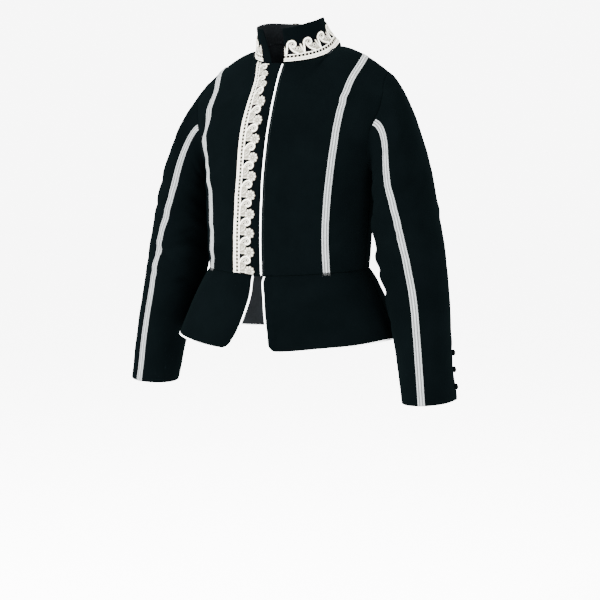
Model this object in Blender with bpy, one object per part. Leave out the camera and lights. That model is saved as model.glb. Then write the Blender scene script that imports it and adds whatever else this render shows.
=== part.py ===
"""A man's velvet doublet, hollow as when worn: a standing collar, a fitted bodice, a flared skirt and two-piece
sleeves.

Metres, +Z up. The front faces -Y and the wearer's left is +X. The origin is the middle of the neck, level with
the points where the shoulder seams meet the collar. Depths are given forward of that point, towards -Y.
Each piece of cloth is a wall whose outer points come from a smooth surface, and the wall lies inside them.
"""

import math
from collections import namedtuple

import bpy
import numpy as np
from mathutils import Vector
from mathutils.geometry import delaunay_2d_cdt

# Cloth and seams
WALL = 0.0022            # velvet with its interlining
GAP = 0.0003             # between two pieces at a seam
TRIM_LIFT = 0.0004       # between a trim and the cloth under it

# Bodice: one row for each level, from the waist up. Half widths and depths of a rounded section.
Level = namedtuple("Level", "z_centre z_side half_width front side back front_round back_round")
FRONT_LEVELS = {
    "waist":    Level(-0.4270, -0.4160, 0.1540, 0.1360, 0.031, -0.074, 3.0, 2.4),
    "ribs":     Level(-0.3380, -0.3320, 0.1600, 0.1390, 0.030, -0.080, 2.9, 2.4),
    "underarm": Level(-0.2445, -0.2385, 0.1680, 0.1320, 0.026, -0.094, 2.8, 2.5),
    "chest":    Level(-0.1680, -0.1660, 0.1930, 0.1165, 0.012, -0.102, 2.6, 2.6),
    "yoke":     Level(-0.1130, -0.1250, 0.2150, 0.0985, 0.003, -0.098, 2.3, 2.4),
    "shoulder": Level(-0.0690, -0.0980, 0.2350, 0.0820, 0.000, -0.076, 2.0, 2.1),
}
BACK_Z_CENTRE = {"waist": -0.410, "ribs": -0.328, "underarm": -0.237, "chest": -0.155, "yoke": -0.089,
                 "shoulder": -0.035}
LEVELS = list(FRONT_LEVELS)
UNDERARM = LEVELS.index("underarm")
TOP = len(LEVELS)        # the neck and shoulder seams come after the last level

# Neck and shoulder seams
NECK_HALF = 0.0845
NECK_FRONT, NECK_FRONT_Z = 0.060, -0.034
NECK_BACK, NECK_BACK_Z = -0.060, 0.018
SHOULDER_HALF, SHOULDER_DROP = 0.186, 0.052
NECK_SHARE = 0.40        # share of a half section, from the centre, that runs into the neck
TIP_SHARE = 0.76         # where the shoulder seam ends

# Princess seams: how far round the half section they lie, at every half level from the waist to the shoulder
PRINCESS_LEFT = [0.59, 0.575, 0.57, 0.58, 0.595, 0.60, 0.605, 0.62, 0.64, 0.675, 0.695, 0.65, 0.60]
PRINCESS_RIGHT = [0.635, 0.61, 0.61, 0.625, 0.67, 0.705, 0.70, 0.70, 0.71, 0.73, 0.74, 0.705, 0.66]
# Armhole: share at even turns from the shoulder's tip to the underarm
ARMHOLE_FRONT = [0.760, 0.783, 0.850, 0.832, 0.800, 0.860, 1.000]
ARMHOLE_BACK = [0.760, 0.788, 0.848, 0.825, 0.810, 0.880, 1.000]

# Centre front: the left front laps over the right one. How far out the left edge lies, from waist to neck
LAP_EDGE = [-0.0070, -0.0065, -0.0055, -0.0040, -0.0025, -0.0005, 0.0]
LAP_UNDER = 0.020        # how far the right front runs on beneath the left one
LAP_DROP, LAP_SLOPE = 0.0033, 0.010

# Collar
COLLAR_TOP_LEFT, COLLAR_TOP_RIGHT = 0.0605, 0.068
COLLAR_HOLLOW_LEFT, COLLAR_HOLLOW_RIGHT = 0.0055, 0.0025     # how far its sides bow in
COLLAR_TOP_FRONT, COLLAR_TOP_BACK = 0.087, -0.039
COLLAR_TOP_Z = (0.024, 0.045, 0.0515)             # front, side, back
COLLAR_LEFT_RISE = 0.0045                         # the left side stands that much higher
CollarEnd = namedtuple("CollarEnd", "base top")   # degrees from the centre front
COLLAR_LEFT, COLLAR_RIGHT = CollarEnd(0.0, 10.0), CollarEnd(18.0, 32.0)

# Skirt of the doublet
SKIRT_LENGTH = 0.130
HEM_HALF, HEM_FRONT, HEM_SIDE, HEM_BACK, HEM_ROUND = 0.218, 0.202, 0.031, -0.134, 2.2
HEM_SIDE_RISE = 0.018
SkirtEdge = namedtuple("SkirtEdge", "down left right")
SKIRT_EDGE = [
    SkirtEdge(0.00, -0.0036, 0.0270),
    SkirtEdge(0.25, 0.0085, 0.0215),
    SkirtEdge(0.50, 0.0190, 0.0250),
    SkirtEdge(0.75, 0.0300, 0.0315),
    SkirtEdge(1.00, 0.0400, 0.0460),
]
CORNER_LEFT, CORNER_RIGHT = 0.014, 0.012

# Sleeves: rings along the arm, below the armhole
Ring = namedtuple("Ring", "z out forward half_width half_depth tilt")
SLEEVE_RINGS = [
    Ring(-0.262, 0.2275, 0.026, 0.0545, 0.0665, 0.12),
    Ring(-0.330, 0.2375, 0.029, 0.0590, 0.0670, 0.14),
    Ring(-0.399, 0.2490, 0.033, 0.0605, 0.0650, 0.14),
    Ring(-0.469, 0.2620, 0.039, 0.0575, 0.0600, 0.14),
    Ring(-0.552, 0.2780, 0.052, 0.0510, 0.0540, 0.12),
    Ring(-0.649, 0.2915, 0.062, 0.0460, 0.0500, 0.08),
]
RING_COUNT = len(SLEEVE_RINGS)
CAP_ROWS = [0.0, 0.05, 0.12, 0.22, 0.36, 0.54, 0.76]
ROWS_PER_RING = 3
CAP_PULL_TOP, CAP_PULL_UNDER = 0.120, 0.022      # how strongly the cap leaves the armhole sideways
SHOULDER_CORNER = 20.0       # degrees over which the cap takes no notice of the corner at the shoulder's tip
CUFF_FLARE = 0.009
# degrees round the sleeve: 0 outside, 90 front, 180 against the body, 270 behind
SLEEVE_FRONT_SEAM = [108.0, 95.0, 85.0, 79.0, 77.0, 80.5, 83.0]
SLEEVE_BACK_SEAM = [270.0, 273.0, 285.0, 300.0, 315.0, 328.0, 336.0]

# Trims
BRAID_WIDTH, BRAID_THICK, BRAID_RIB = 0.0136, 0.0010, 0.0005
PIPING_RADIUS = 0.0017
LACE_THICK = 0.0011

BLACK_VELVET = ("black_velvet", (0.012, 0.016, 0.019), 0.85, 0.0)
SILVER_BRAID = ("silver_braid", (0.62, 0.64, 0.64), 0.45, 0.3)
WHITE_PIPING = ("white_piping", (0.78, 0.80, 0.80), 0.5, 0.0)
IVORY_LACE = ("ivory_lace", (0.80, 0.78, 0.70), 0.7, 0.0)


# ---- plain geometry ----------------------------------------------------------------------------

def unit(vectors):
    return vectors / np.maximum(np.linalg.norm(vectors, axis=-1, keepdims=True), 1e-12)


def smoothstep(x):
    x = np.clip(x, 0.0, 1.0)
    return x * x * (3 - 2 * x)


def place(out, forward, up):
    """Points from how far out to the wearer's left, forward and up they lie."""
    out, forward, up = np.broadcast_arrays(out, forward, up)
    return np.stack([out, -forward, up], axis=-1)


def spline(knots, t):
    """Catmull-Rom through knots, one row each, with a ghost row at both ends. t: 0 at the first real knot."""
    t = np.asarray(t, float)
    cell = np.clip(np.floor(t).astype(int), 0, len(knots) - 4)
    u = (t - cell)[..., None]
    index = np.indices(t.shape)
    k = [knots[(cell + i, *index)] for i in range(4)]
    return 0.5 * (2 * k[1] + (k[2] - k[0]) * u + (2 * k[0] - 5 * k[1] + 4 * k[2] - k[3]) * u**2
                  + (3 * k[1] - 3 * k[2] + k[3] - k[0]) * u**3)


def table(values, t):
    """A smooth curve through evenly spaced numbers."""
    v = np.asarray(values, float)
    v = np.concatenate([[2 * v[0] - v[1]], v, [2 * v[-1] - v[-2]]])
    t = np.asarray(t, float)
    return spline(np.broadcast_to(v[(...,) + (None,) * t.ndim], (len(v), *t.shape))[..., None], t)[..., 0]


# ---- the bodice's surface ----------------------------------------------------------------------

def level_point(name, share, back):
    """A point of one level's section. share: 0 at the centre, 1 at the side, negative to the right."""
    level = FRONT_LEVELS[name]
    angle = share * math.pi / 2
    depth = np.where(back, level.side - level.back, level.front - level.side)
    power = np.where(back, level.back_round, level.front_round)
    wide, deep = np.abs(np.sin(angle) / level.half_width), np.abs(np.cos(angle) / depth)
    reach = (wide**power + deep**power) ** (-1 / power)
    forward = level.side + np.where(back, -1.0, 1.0) * reach * np.cos(angle)
    z_centre = np.where(back, BACK_Z_CENTRE[name], level.z_centre)
    return place(reach * np.sin(angle), forward, z_centre + (level.z_side - z_centre) * np.sin(angle) ** 2)


def neck_height(turn, back):
    """Height of the neck seam, turn radians round from the front or back centre."""
    c = np.abs(np.cos(turn))
    return np.where(back, c * (NECK_BACK_Z + 0.012 * (1 - c)), NECK_FRONT_Z * c * (1.35 - 0.35 * c))


def seam_point(share, back):
    """The neck seam, then the shoulder seam, that end the bodice at the top."""
    side, share = np.sign(share), np.abs(share)
    turn = np.clip(share / NECK_SHARE, 0, 1) * math.pi / 2
    depth = np.where(back, NECK_BACK, NECK_FRONT)
    along = np.maximum(share - NECK_SHARE, 0) / (TIP_SHARE - NECK_SHARE)
    out = NECK_HALF * np.sin(turn) + (SHOULDER_HALF - NECK_HALF) * along
    return place(side * out, depth * np.cos(turn), neck_height(turn, back) - SHOULDER_DROP * along**1.6)


def bodice(share, level, back=False):
    """A point of the bodice's outside. level: 0 at the waist to TOP at the neck and shoulder seams."""
    share, level, back = np.broadcast_arrays(np.asarray(share, float), np.asarray(level, float), back)
    rows = [level_point(name, share, back) for name in LEVELS]
    top = seam_point(share, back)
    over = level_point(LEVELS[-1], share, ~back)
    blend = smoothstep(np.abs(share) / NECK_SHARE)[..., None]
    beyond = (1 - blend) * (2 * top - rows[-1]) + blend * over
    knots = np.stack([2 * rows[0] - rows[1], *rows, top, beyond])
    return spline(knots, level)


def bodice_normal(share, level, back=False):
    step = 1e-3
    along = bodice(share + step, level, back) - bodice(share - step, level, back)
    low, high = np.maximum(np.asarray(level, float) - step, 0), np.minimum(np.asarray(level, float) + step, TOP)
    up = bodice(share, high, back) - bodice(share, low, back)
    normal = unit(np.cross(along, up))
    return np.where(np.broadcast_to(back, normal.shape[:-1])[..., None], -normal, normal)


def share_at(out, level, back=False):
    """The share at which the bodice lies that far out, by halving."""
    out, level = np.broadcast_arrays(np.asarray(out, float), np.asarray(level, float))
    low, high = np.full(out.shape, -0.5), np.full(out.shape, 0.5)
    for _ in range(40):
        middle = (low + high) / 2
        beyond = bodice(middle, level, back)[..., 0] > out
        low, high = np.where(beyond, low, middle), np.where(beyond, middle, high)
    return (low + high) / 2


def armhole_level(turn):
    """turn: 0 at the shoulder, 180 under the arm."""
    return UNDERARM + (TOP - UNDERARM) * (1 + np.cos(np.radians(turn))) / 2


def armhole_share(level, back):
    rise = np.clip((np.asarray(level, float) - UNDERARM) / (TOP - UNDERARM), 0, 1)
    turn = np.arccos(2 * rise - 1) / math.pi * (len(ARMHOLE_FRONT) - 1)
    return np.where(back, table(ARMHOLE_BACK, turn), table(ARMHOLE_FRONT, turn))


def princess_share(level, right=False):
    return table(PRINCESS_RIGHT if right else PRINCESS_LEFT, 2 * np.asarray(level, float))


def armhole_loop(turns):
    """Round the left armhole from the top by the front: points, normals and the way out of the bodice."""
    def at(turn):
        turn = np.mod(turn, 360.0)
        behind = turn > 180.0
        level = armhole_level(np.where(behind, 360.0 - turn, turn))
        share = armhole_share(level, behind)
        return bodice(share, level, behind), bodice_normal(share, level, behind)
    points, normals = at(turns)
    tangent = unit(at(turns + 0.5)[0] - at(turns - 0.5)[0])
    outward = unit(np.cross(tangent, normals))
    outward *= np.sign((outward @ np.array([1.0, 0.0, 0.6])))[..., None]
    return points, normals, outward


# ---- solids ------------------------------------------------------------------------------------

MATERIALS = {}


def material(finish):
    name, colour, rough, metal = finish
    if name not in MATERIALS:
        made = bpy.data.materials.new(name)
        made.use_nodes = True
        shader = made.node_tree.nodes["Principled BSDF"]
        shader.inputs["Base Color"].default_value = (*colour, 1.0)
        shader.inputs["Roughness"].default_value = rough
        shader.inputs["Metallic"].default_value = metal
        MATERIALS[name] = made
    return MATERIALS[name]


def add_object(name, points, faces, finish, smooth=True):
    mesh = bpy.data.meshes.new(name)
    mesh.from_pydata([tuple(p) for p in points], [], faces)
    mesh.update()
    if smooth:
        mesh.shade_smooth()
        mesh.set_sharp_from_angle(angle=math.radians(40))
    mesh.materials.append(material(finish))
    made = bpy.data.objects.new(name, mesh)
    bpy.context.scene.collection.objects.link(made)
    return made


def grid_faces(keep, wraps):
    """Quads over the cells of a grid of points, front and back skins and the rims between them.

    keep is a table of cells, False where the cloth is cut away. wraps joins the last column to the first."""
    rows, columns = keep.shape
    width = columns if wraps else columns + 1
    count = (rows + 1) * width

    def corner(i, j):
        return i * width + (j % width if wraps else j)

    def kept(i, j):
        if wraps:
            j %= columns
        return 0 <= i < rows and 0 <= j < columns and keep[i, j]

    faces = []
    for i in range(rows):
        for j in range(columns):
            if not kept(i, j):
                continue
            a, b, c, d = corner(i, j), corner(i, j + 1), corner(i + 1, j + 1), corner(i + 1, j)
            faces += [(a, b, c), (a, c, d)]
            faces += [(a + count, c + count, b + count), (a + count, d + count, c + count)]
            sides = (((i - 1, j), a, b), ((i, j + 1), b, c), ((i + 1, j), c, d), ((i, j - 1), d, a))
            for beside, first, second in sides:
                if not kept(*beside) and first < second:
                    faces += [(second, first, second + count), (first, first + count, second + count)]
                elif not kept(*beside):
                    faces += [(second, first, first + count), (second, first + count, second + count)]
    return faces


def cloth(name, outer, inner, finish, wraps=False, keep=None):
    """A closed wall between two grids of points, rows first. Its faces point out."""
    rows, columns = outer.shape[0] - 1, outer.shape[1] - (0 if wraps else 1)
    keep = np.ones((rows, columns), bool) if keep is None else keep
    faces = grid_faces(keep, wraps)
    points = np.concatenate([outer.reshape(-1, 3), inner.reshape(-1, 3)])
    across = outer[0, 1] - outer[0, 0]
    down = outer[1, 0] - outer[0, 0]
    if np.dot(np.cross(across, down), outer[0, 0] - inner[0, 0]) < 0:
        faces = [face[::-1] for face in faces]
    used = sorted({corner for face in faces for corner in face})
    new = {corner: i for i, corner in enumerate(used)}
    return add_object(name, points[used], [tuple(new[c] for c in face) for face in faces], finish)


def cloth_in_two(names, pair, at):
    """One piece of cloth as two simpler solids, parted across at a row, with a gap between them."""
    for name, rows, end, beside in zip(names, (slice(None, at + 1), slice(at, None)), (-1, 0), (-2, 1)):
        some = [grid[rows].copy() for grid in pair]
        for grid in some:
            grid[end] += unit(grid[beside] - grid[end]) * GAP / 2
        cloth(name, *some, BLACK_VELVET)


def skins(points, normals, wall=WALL):
    return points, points - wall * normals


def tube(name, centres, radius, finish, sides=6):
    """A round cord along points, with flat ends."""
    tangents = unit(np.gradient(centres, axis=0))
    across = unit(np.cross(tangents, np.array([0.31, 0.52, 0.80])))
    for i in range(1, len(centres)):                       # carried along without twisting
        across[i] = across[i - 1] - tangents[i] * np.dot(across[i - 1], tangents[i])
    across = unit(across)
    other = np.cross(tangents, across)
    turns = np.arange(sides) * 2 * math.pi / sides
    round_it = across[:, None] * np.cos(turns)[:, None] + other[:, None] * np.sin(turns)[:, None]
    rings = centres[:, None] + radius * round_it
    points = rings.reshape(-1, 3)
    last = (len(centres) - 1) * sides
    faces = [tuple(range(sides))[::-1], tuple(last + k for k in range(sides))]
    for i in range(len(centres) - 1):
        for k in range(sides):
            a, b = i * sides + k, i * sides + (k + 1) % sides
            faces.append((a, b, b + sides, a + sides))
    return add_object(name, points, faces, finish)


# ---- bodice ------------------------------------------------------------------------------------

BODY_ROWS_LOW, BODY_ROWS_HIGH = 7, 10
NECK_COLUMNS = 6         # in a quarter of the neck
SHOULDER_COLUMNS, SIDE_COLUMNS = 2, 3


def level_rows():
    """Levels of the bodice's rows: evenly up to the underarm, then at even turns of the armhole."""
    low = np.linspace(0, UNDERARM, BODY_ROWS_LOW + 1)
    high = armhole_level(np.linspace(180, 0, BODY_ROWS_HIGH + 1))
    return np.concatenate([low, high[1:]])


def inset_levels(levels):
    """Draws the waist and shoulder rows back from their seams by half a gap."""
    levels = levels.copy()
    levels[0] += GAP / 2 / 0.090
    levels[-1] -= GAP / 2 / 0.045
    return levels


def inset_share(share, level, sign, back=False):
    """Moves a seam line sideways by half a gap."""
    step = 1e-3
    ahead, behind = bodice(share + step, level, back), bodice(share - step, level, back)
    reach = np.linalg.norm(ahead - behind, axis=-1) / (2 * step)
    return share + sign * GAP / 2 / reach


def panel_skins(share, level, back=False):
    points, normals = bodice(share, level, back), bodice_normal(share, level, back)
    flat = normals[0] * np.array([1, 1, 0])                # level faces meet at the waist seam
    normals[0] = unit(flat)
    return skins(points, normals)


def mirrored(pair):
    return tuple(p * np.array([-1, 1, 1]) for p in pair)


def on_side(side, pair):
    return pair if side == "left" else mirrored(pair)


def lap_edge(level):
    return table(LAP_EDGE, level)


def lap_depth(out, level):
    """How far the right front lies beneath the smooth surface, that far out."""
    start = lap_edge(level) - 0.0015
    return LAP_DROP * smoothstep((out - (start - LAP_SLOPE)) / LAP_SLOPE)


def half_braid(level, right=False):
    """Half the braid's width, as a share."""
    share = princess_share(level, right)
    reach = np.linalg.norm(bodice(share + 1e-3, level) - bodice(share - 1e-3, level), axis=-1) / 2e-3
    return BRAID_WIDTH / 2 / reach


def spread(top_share, start, stop):
    """Columns down a panel: the shares at the top row, drawn out to run from start to stop at every row."""
    across = (top_share - top_share[0]) / (top_share[-1] - top_share[0])
    return start[:, None] + (stop - start)[:, None] * across[None, :]


def build_bodice():
    rows = inset_levels(level_rows())
    level = rows[:, None]
    neck = np.arange(NECK_COLUMNS + 1) * NECK_SHARE / NECK_COLUMNS

    def front_columns(first, edge, right):
        """Shares from the front edge to the princess seam, one column of them under the braid's inner edge."""
        princess, half = princess_share(rows, right), half_braid(rows, right)
        shoulder = np.linspace(NECK_SHARE, princess[-1] - half[-1], SHOULDER_COLUMNS + 1)[1:]
        share = spread(np.concatenate([[first], neck[1:], shoulder]), edge, princess - half)
        return np.concatenate([share, inset_share(princess, rows, -1)[:, None]], axis=1)

    edge = share_at(lap_edge(rows), rows)
    share = front_columns(edge[-1], edge, False)
    cloth_in_two(("front_left", "front_left_yoke"), panel_skins(share, level + 0 * share), BODY_ROWS_LOW)

    # the right front is worked out on the left, with its sharing turned round
    laps = np.stack([LAP_UNDER + 0 * rows, lap_edge(rows) + 0.001, lap_edge(rows) - 0.0015 - LAP_SLOPE / 2,
                     lap_edge(rows) - 0.0015 - LAP_SLOPE], axis=1)
    lap = -share_at(laps, np.broadcast_to(level, laps.shape))
    share = np.concatenate([lap[:, :-1], front_columns(lap[-1, -1], lap[:, -1], True)], axis=1)
    height = level + 0 * share
    points, normals = bodice(share, height), bodice_normal(share, height)
    normals[0] = unit(normals[0] * np.array([1, 1, 0]))
    points = points - normals * lap_depth(-points[..., 0], height)[..., None]
    cloth_in_two(("front_right", "front_right_yoke"), mirrored(skins(points, normals)), BODY_ROWS_LOW)

    over_armhole = rows > UNDERARM + 1e-6
    side_seam = inset_share(np.ones_like(rows), rows, -1)
    far_edge = np.where(over_armhole, armhole_share(level_rows(), False), side_seam)
    for right in (False, True):
        outer_edge = inset_share(princess_share(rows, right), rows, +1)
        inward = (outer_edge + half_braid(rows, right))[:, None]
        share = inward + (far_edge[:, None] - inward) * np.linspace(0, 1, SIDE_COLUMNS + 1)[None, :]
        share = np.concatenate([outer_edge[:, None], share], axis=1)
        side = "right" if right else "left"
        cloth(f"side_front_{side}", *on_side(side, panel_skins(share, level + 0 * share)), BLACK_VELVET)

    side_seam = inset_share(np.ones_like(rows), rows, -1, True)
    far_edge = np.where(over_armhole, armhole_share(level_rows(), True), side_seam)
    top = np.concatenate([neck, np.linspace(NECK_SHARE, far_edge[-1], 4)[1:]])
    share = spread(np.concatenate([-top[:0:-1], top]), -far_edge, far_edge)
    cloth_in_two(("back", "back_yoke"), panel_skins(share, level + 0 * share, True), BODY_ROWS_LOW)


# Across the braid: a flat crown with lower edges
BRAID_ACROSS = np.array([-1.0, -0.55, 0.55, 1.0])
BRAID_RIBS = np.array([0.0, 1.0, 1.0, 0.0])


def braid_strip(points, normals):
    inner = points + TRIM_LIFT * normals
    return inner + (BRAID_THICK + BRAID_RIB * (BRAID_RIBS - 1))[None, :, None] * normals, inner


def build_body_braid():
    rows = level_rows()
    rows[0] += 0.0010 / 0.090
    rows[-1] -= 0.0010 / 0.045
    for right in (False, True):
        share = princess_share(rows, right)[:, None] + half_braid(rows, right)[:, None] * BRAID_ACROSS[None, :]
        level = rows[:, None] + 0 * share
        strip = braid_strip(bodice(share, level), bodice_normal(share, level))
        side = "right" if right else "left"
        cloth(f"braid_front_{side}", *on_side(side, strip), SILVER_BRAID)


# ---- collar ------------------------------------------------------------------------------------

COLLAR_ROWS = 3


def collar(turn, height):
    """turn: degrees from the centre front, through the left, to 180 at the centre back. height 0 to 1."""
    turn, height = np.broadcast_arrays(np.asarray(turn, float), np.asarray(height, float))
    angle = np.radians(turn)
    s, c = np.sin(angle), np.cos(angle)
    back = c < 0
    base = place(NECK_HALF * s, np.where(back, -NECK_BACK, NECK_FRONT) * c, neck_height(angle, back) + GAP)
    middle, reach = (COLLAR_TOP_FRONT + COLLAR_TOP_BACK) / 2, (COLLAR_TOP_FRONT - COLLAR_TOP_BACK) / 2
    front_z, side_z, back_z = COLLAR_TOP_Z
    rise = side_z - front_z
    top_z = np.where(back, side_z + rise * -c + (back_z - side_z - rise) * c * c, side_z - rise * c)
    left = smoothstep(0.5 + s)
    half = COLLAR_TOP_RIGHT + (COLLAR_TOP_LEFT - COLLAR_TOP_RIGHT) * left
    hollow = COLLAR_HOLLOW_RIGHT + (COLLAR_HOLLOW_LEFT - COLLAR_HOLLOW_RIGHT) * left
    top = place(half * s, middle + reach * c, top_z + COLLAR_LEFT_RISE * np.maximum(s, 0) ** 2)
    out = unit(place(s / NECK_HALF, c / NECK_FRONT, 0 * s))
    return base + (top - base) * height[..., None] - out * (hollow * np.sin(math.pi * height))[..., None]


def collar_normal(turn, height):
    step = 0.5
    along = collar(turn + step, height) - collar(turn - step, height)
    up = collar(turn, np.minimum(height + 0.02, 1)) - collar(turn, np.maximum(height - 0.02, 0))
    normal = unit(np.cross(along, up))
    flat = unit(normal * np.array([1, 1, 0]))
    share = np.clip(np.asarray(height) * 3, 0, 1)[..., None]
    return unit(flat * (1 - share) + normal * share)


def collar_turn(base, height):
    """The turn at that height over a point of the collar's foot: the ends lean away from the opening."""
    left = COLLAR_LEFT.base + (COLLAR_LEFT.top - COLLAR_LEFT.base) * height
    right = COLLAR_RIGHT.base + (COLLAR_RIGHT.top - COLLAR_RIGHT.base) * height
    share = (base - COLLAR_LEFT.base) / (360 - COLLAR_RIGHT.base - COLLAR_LEFT.base)
    return left + (360 - right - left) * share


def build_collar():
    step = 90 / NECK_COLUMNS / 2
    base = np.arange(0, 360 - COLLAR_RIGHT.base, step)
    base = np.append(base, 360 - COLLAR_RIGHT.base)[None, :]
    height = np.linspace(0, 1, COLLAR_ROWS + 1)[:, None] + 0 * base
    turn = collar_turn(base, height)
    pair = skins(collar(turn, height), collar_normal(turn, height))
    for grid in pair:                                   # the foot keeps to the panels' straight top edges
        middles = np.arange(1, grid.shape[1] - 2, 2)
        grid[0, middles] = (grid[0, middles - 1] + grid[0, middles + 1]) / 2
    cloth("collar", *pair, BLACK_VELVET)


# ---- skirt -------------------------------------------------------------------------------------

def skirt(turn, down):
    """turn: degrees from the centre front, by the left, to 180 behind. down: 0 at the waist, 1 at the hem."""
    angle = np.radians(turn)
    front = np.cos(angle) > 0
    s, c = np.sin(angle), np.abs(np.cos(angle))
    share = (np.mod(turn + 180, 360) - 180)
    waist = bodice(np.where(front, share, np.sign(share) * (180 - np.abs(share))) / 90, 0.0 * turn, ~front)
    depth = np.where(front, HEM_FRONT - HEM_SIDE, HEM_SIDE - HEM_BACK)
    reach = (np.abs(s / HEM_HALF) ** HEM_ROUND + np.abs(c / depth) ** HEM_ROUND) ** (-1 / HEM_ROUND)
    level = FRONT_LEVELS["waist"].z_centre - SKIRT_LENGTH + HEM_SIDE_RISE * s**2
    hem = place(reach * s, HEM_SIDE + reach * np.cos(angle), level)
    flare = (down**0.82)[..., None]
    drop = np.asarray(down)[..., None]
    flat = waist + (hem - waist) * flare
    fall = waist + (hem - waist) * drop
    return np.concatenate([flat[..., :2], fall[..., 2:] - GAP], axis=-1)


def skirt_normal(turn, down):
    step = 0.5
    along = skirt(turn + step, down) - skirt(turn - step, down)
    lower = skirt(turn, np.minimum(down + 0.02, 1)) - skirt(turn, np.maximum(down - 0.02, 0))
    normal = unit(np.cross(lower, along))
    flat = unit(normal * np.array([1, 1, 0]))
    share = np.clip(np.asarray(down) * 8, 0, 1)[..., None]
    return unit(flat * (1 - share) + normal * share)


def skirt_turn_at(out, down):
    low, high = np.full(np.shape(down), 0.0), np.full(np.shape(down), 60.0)
    for _ in range(40):
        middle = (low + high) / 2
        beyond = skirt(middle, down)[..., 0] > out
        low, high = np.where(beyond, low, middle), np.where(beyond, middle, high)
    return (low + high) / 2


def skirt_rows():
    return np.array([0.0, 0.16, 0.34, 0.52, 0.70, 0.84, 0.91, 0.955, 0.985, 1.0])


def skirt_front_edge(down, left):
    """How far out the front edge lies, with its rounded corner."""
    edge = table([e.left if left else e.right for e in SKIRT_EDGE], down * (len(SKIRT_EDGE) - 1))
    corner = (CORNER_LEFT if left else CORNER_RIGHT)
    into = np.clip((down - 1) * SKIRT_LENGTH + corner, 0, corner)
    return edge + corner - np.sqrt(corner**2 - into**2)


SIDE_TURN_GAP = 0.05      # degrees, half a seam gap at the side
SKIRT_FRONT_COLUMNS, SKIRT_BACK_COLUMNS = 9, 16


def skirt_front_grid(left):
    down = skirt_rows()
    edge = skirt_turn_at(skirt_front_edge(down, left), down)
    across = np.linspace(0, 1, SKIRT_FRONT_COLUMNS + 1)[None, :]
    turn = edge[:, None] + (90 - SIDE_TURN_GAP - edge)[:, None] * across
    return turn, down[:, None] + 0 * turn


def skirt_back_grid():
    down = skirt_rows()[:, None]
    turn = np.linspace(90 + SIDE_TURN_GAP, 270 - SIDE_TURN_GAP, SKIRT_BACK_COLUMNS + 1)[None, :] + 0 * down
    return turn, down + 0 * turn


def build_skirt():
    for left in (True, False):
        turn, height = skirt_front_grid(left)
        pair = skins(skirt(turn, height), skirt_normal(turn, height))
        cloth("skirt_front_" + ("left" if left else "right"), *(pair if left else mirrored(pair)), BLACK_VELVET)
    turn, height = skirt_back_grid()
    cloth("skirt_back", *skins(skirt(turn, height), skirt_normal(turn, height)), BLACK_VELVET)


# ---- sleeves -----------------------------------------------------------------------------------

FOLDS = [  # turn, along (0 armhole, 1 cuff), length round, width along, slant, depth
    (120.0, 0.44, 55.0, 0.030, 0.0010, 0.0040),
    (100.0, 0.54, 50.0, 0.026, -0.0008, 0.0035),
    (165.0, 0.35, 50.0, 0.028, 0.0012, 0.0035),
    (60.0, 0.30, 45.0, 0.030, 0.0014, 0.0030),
    (285.0, 0.50, 45.0, 0.030, -0.0010, 0.0025),
    (150.0, 0.66, 45.0, 0.026, 0.0010, 0.0030),
]


def away(turn, at):
    return np.mod(turn - at + 180, 360) - 180


def sleeve_fold(turn, along):
    """How far the folds at the elbow draw the sleeve in."""
    depth = 0.0
    for at, centre, length, width, slant, deep in FOLDS:
        off = away(turn, at)
        across = (along - centre - slant * off) / width
        ridge = np.exp(-across**2) - 0.5 * np.exp(-((np.abs(across) - 1.8) ** 2))
        depth = depth + deep * np.exp(-(off / length) ** 2) * ridge
    return depth * smoothstep(along / 0.2) * smoothstep((1 - along) / 0.15)


def ring_point(ring, turn):
    angle = np.radians(turn)
    out = ring.half_width * np.cos(angle)
    return place(ring.out + out, ring.forward + ring.half_depth * np.sin(angle), ring.z + ring.tilt * out)


def sleeve(turn, row):
    """A point of the left sleeve. row: 0 at the armhole, 1 at the first ring, RING_COUNT at the cuff."""
    turn, row = np.broadcast_arrays(np.asarray(turn, float), np.asarray(row, float))
    rings = np.stack([ring_point(ring, turn) for ring in SLEEVE_RINGS])
    arm = unit(place(0.17, 0.04, -1.0))
    knots = np.concatenate([[rings[0] - arm * 0.066], rings, [2 * rings[-1] - rings[-2]]])
    start, _, outward = armhole_loop(turn)
    under = smoothstep((0.2 - np.cos(np.radians(turn))) / 1.2)[..., None]
    angle = np.radians(turn)
    aside = place(1.0 + 0 * turn, 0.30 * np.sin(angle), -0.35 - 0.30 * np.cos(angle))
    pull = CAP_PULL_TOP + (CAP_PULL_UNDER - CAP_PULL_TOP) * under
    tip = np.exp(-(away(turn, 0) / SHOULDER_CORNER) ** 2)[..., None]
    outward = unit(outward * (1 - tip) + unit(aside) * tip)
    leave = unit((0.35 + 0.65 * under) * outward + 0.65 * (1 - under) * unit(aside)) * pull
    arrive = (knots[2] - knots[0]) / 2 * (2.2 - 1.3 * under)
    t = np.clip(row, 0, 1)[..., None]
    cap = ((2 * t**3 - 3 * t**2 + 1) * (start + GAP * outward) + (t**3 - 2 * t**2 + t) * leave
           + (3 * t**2 - 2 * t**3) * rings[0] + (t**3 - t**2) * arrive)
    points = np.where(row[..., None] < 1, cap, spline(knots, np.clip(row - 1, 0, RING_COUNT - 1)))
    along = np.where(row < 1, 0.28 * row, 0.28 + 0.72 * (row - 1) / (RING_COUNT - 1))
    flare = CUFF_FLARE * smoothstep((along - 0.90) / 0.10) * np.exp(-(away(turn, 318) / 24) ** 2)
    radial = unit(place(np.cos(np.radians(turn)), 0.85 * np.sin(np.radians(turn)), 0.0 * turn))
    return points + radial * (flare - sleeve_fold(turn, along))[..., None]


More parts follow.
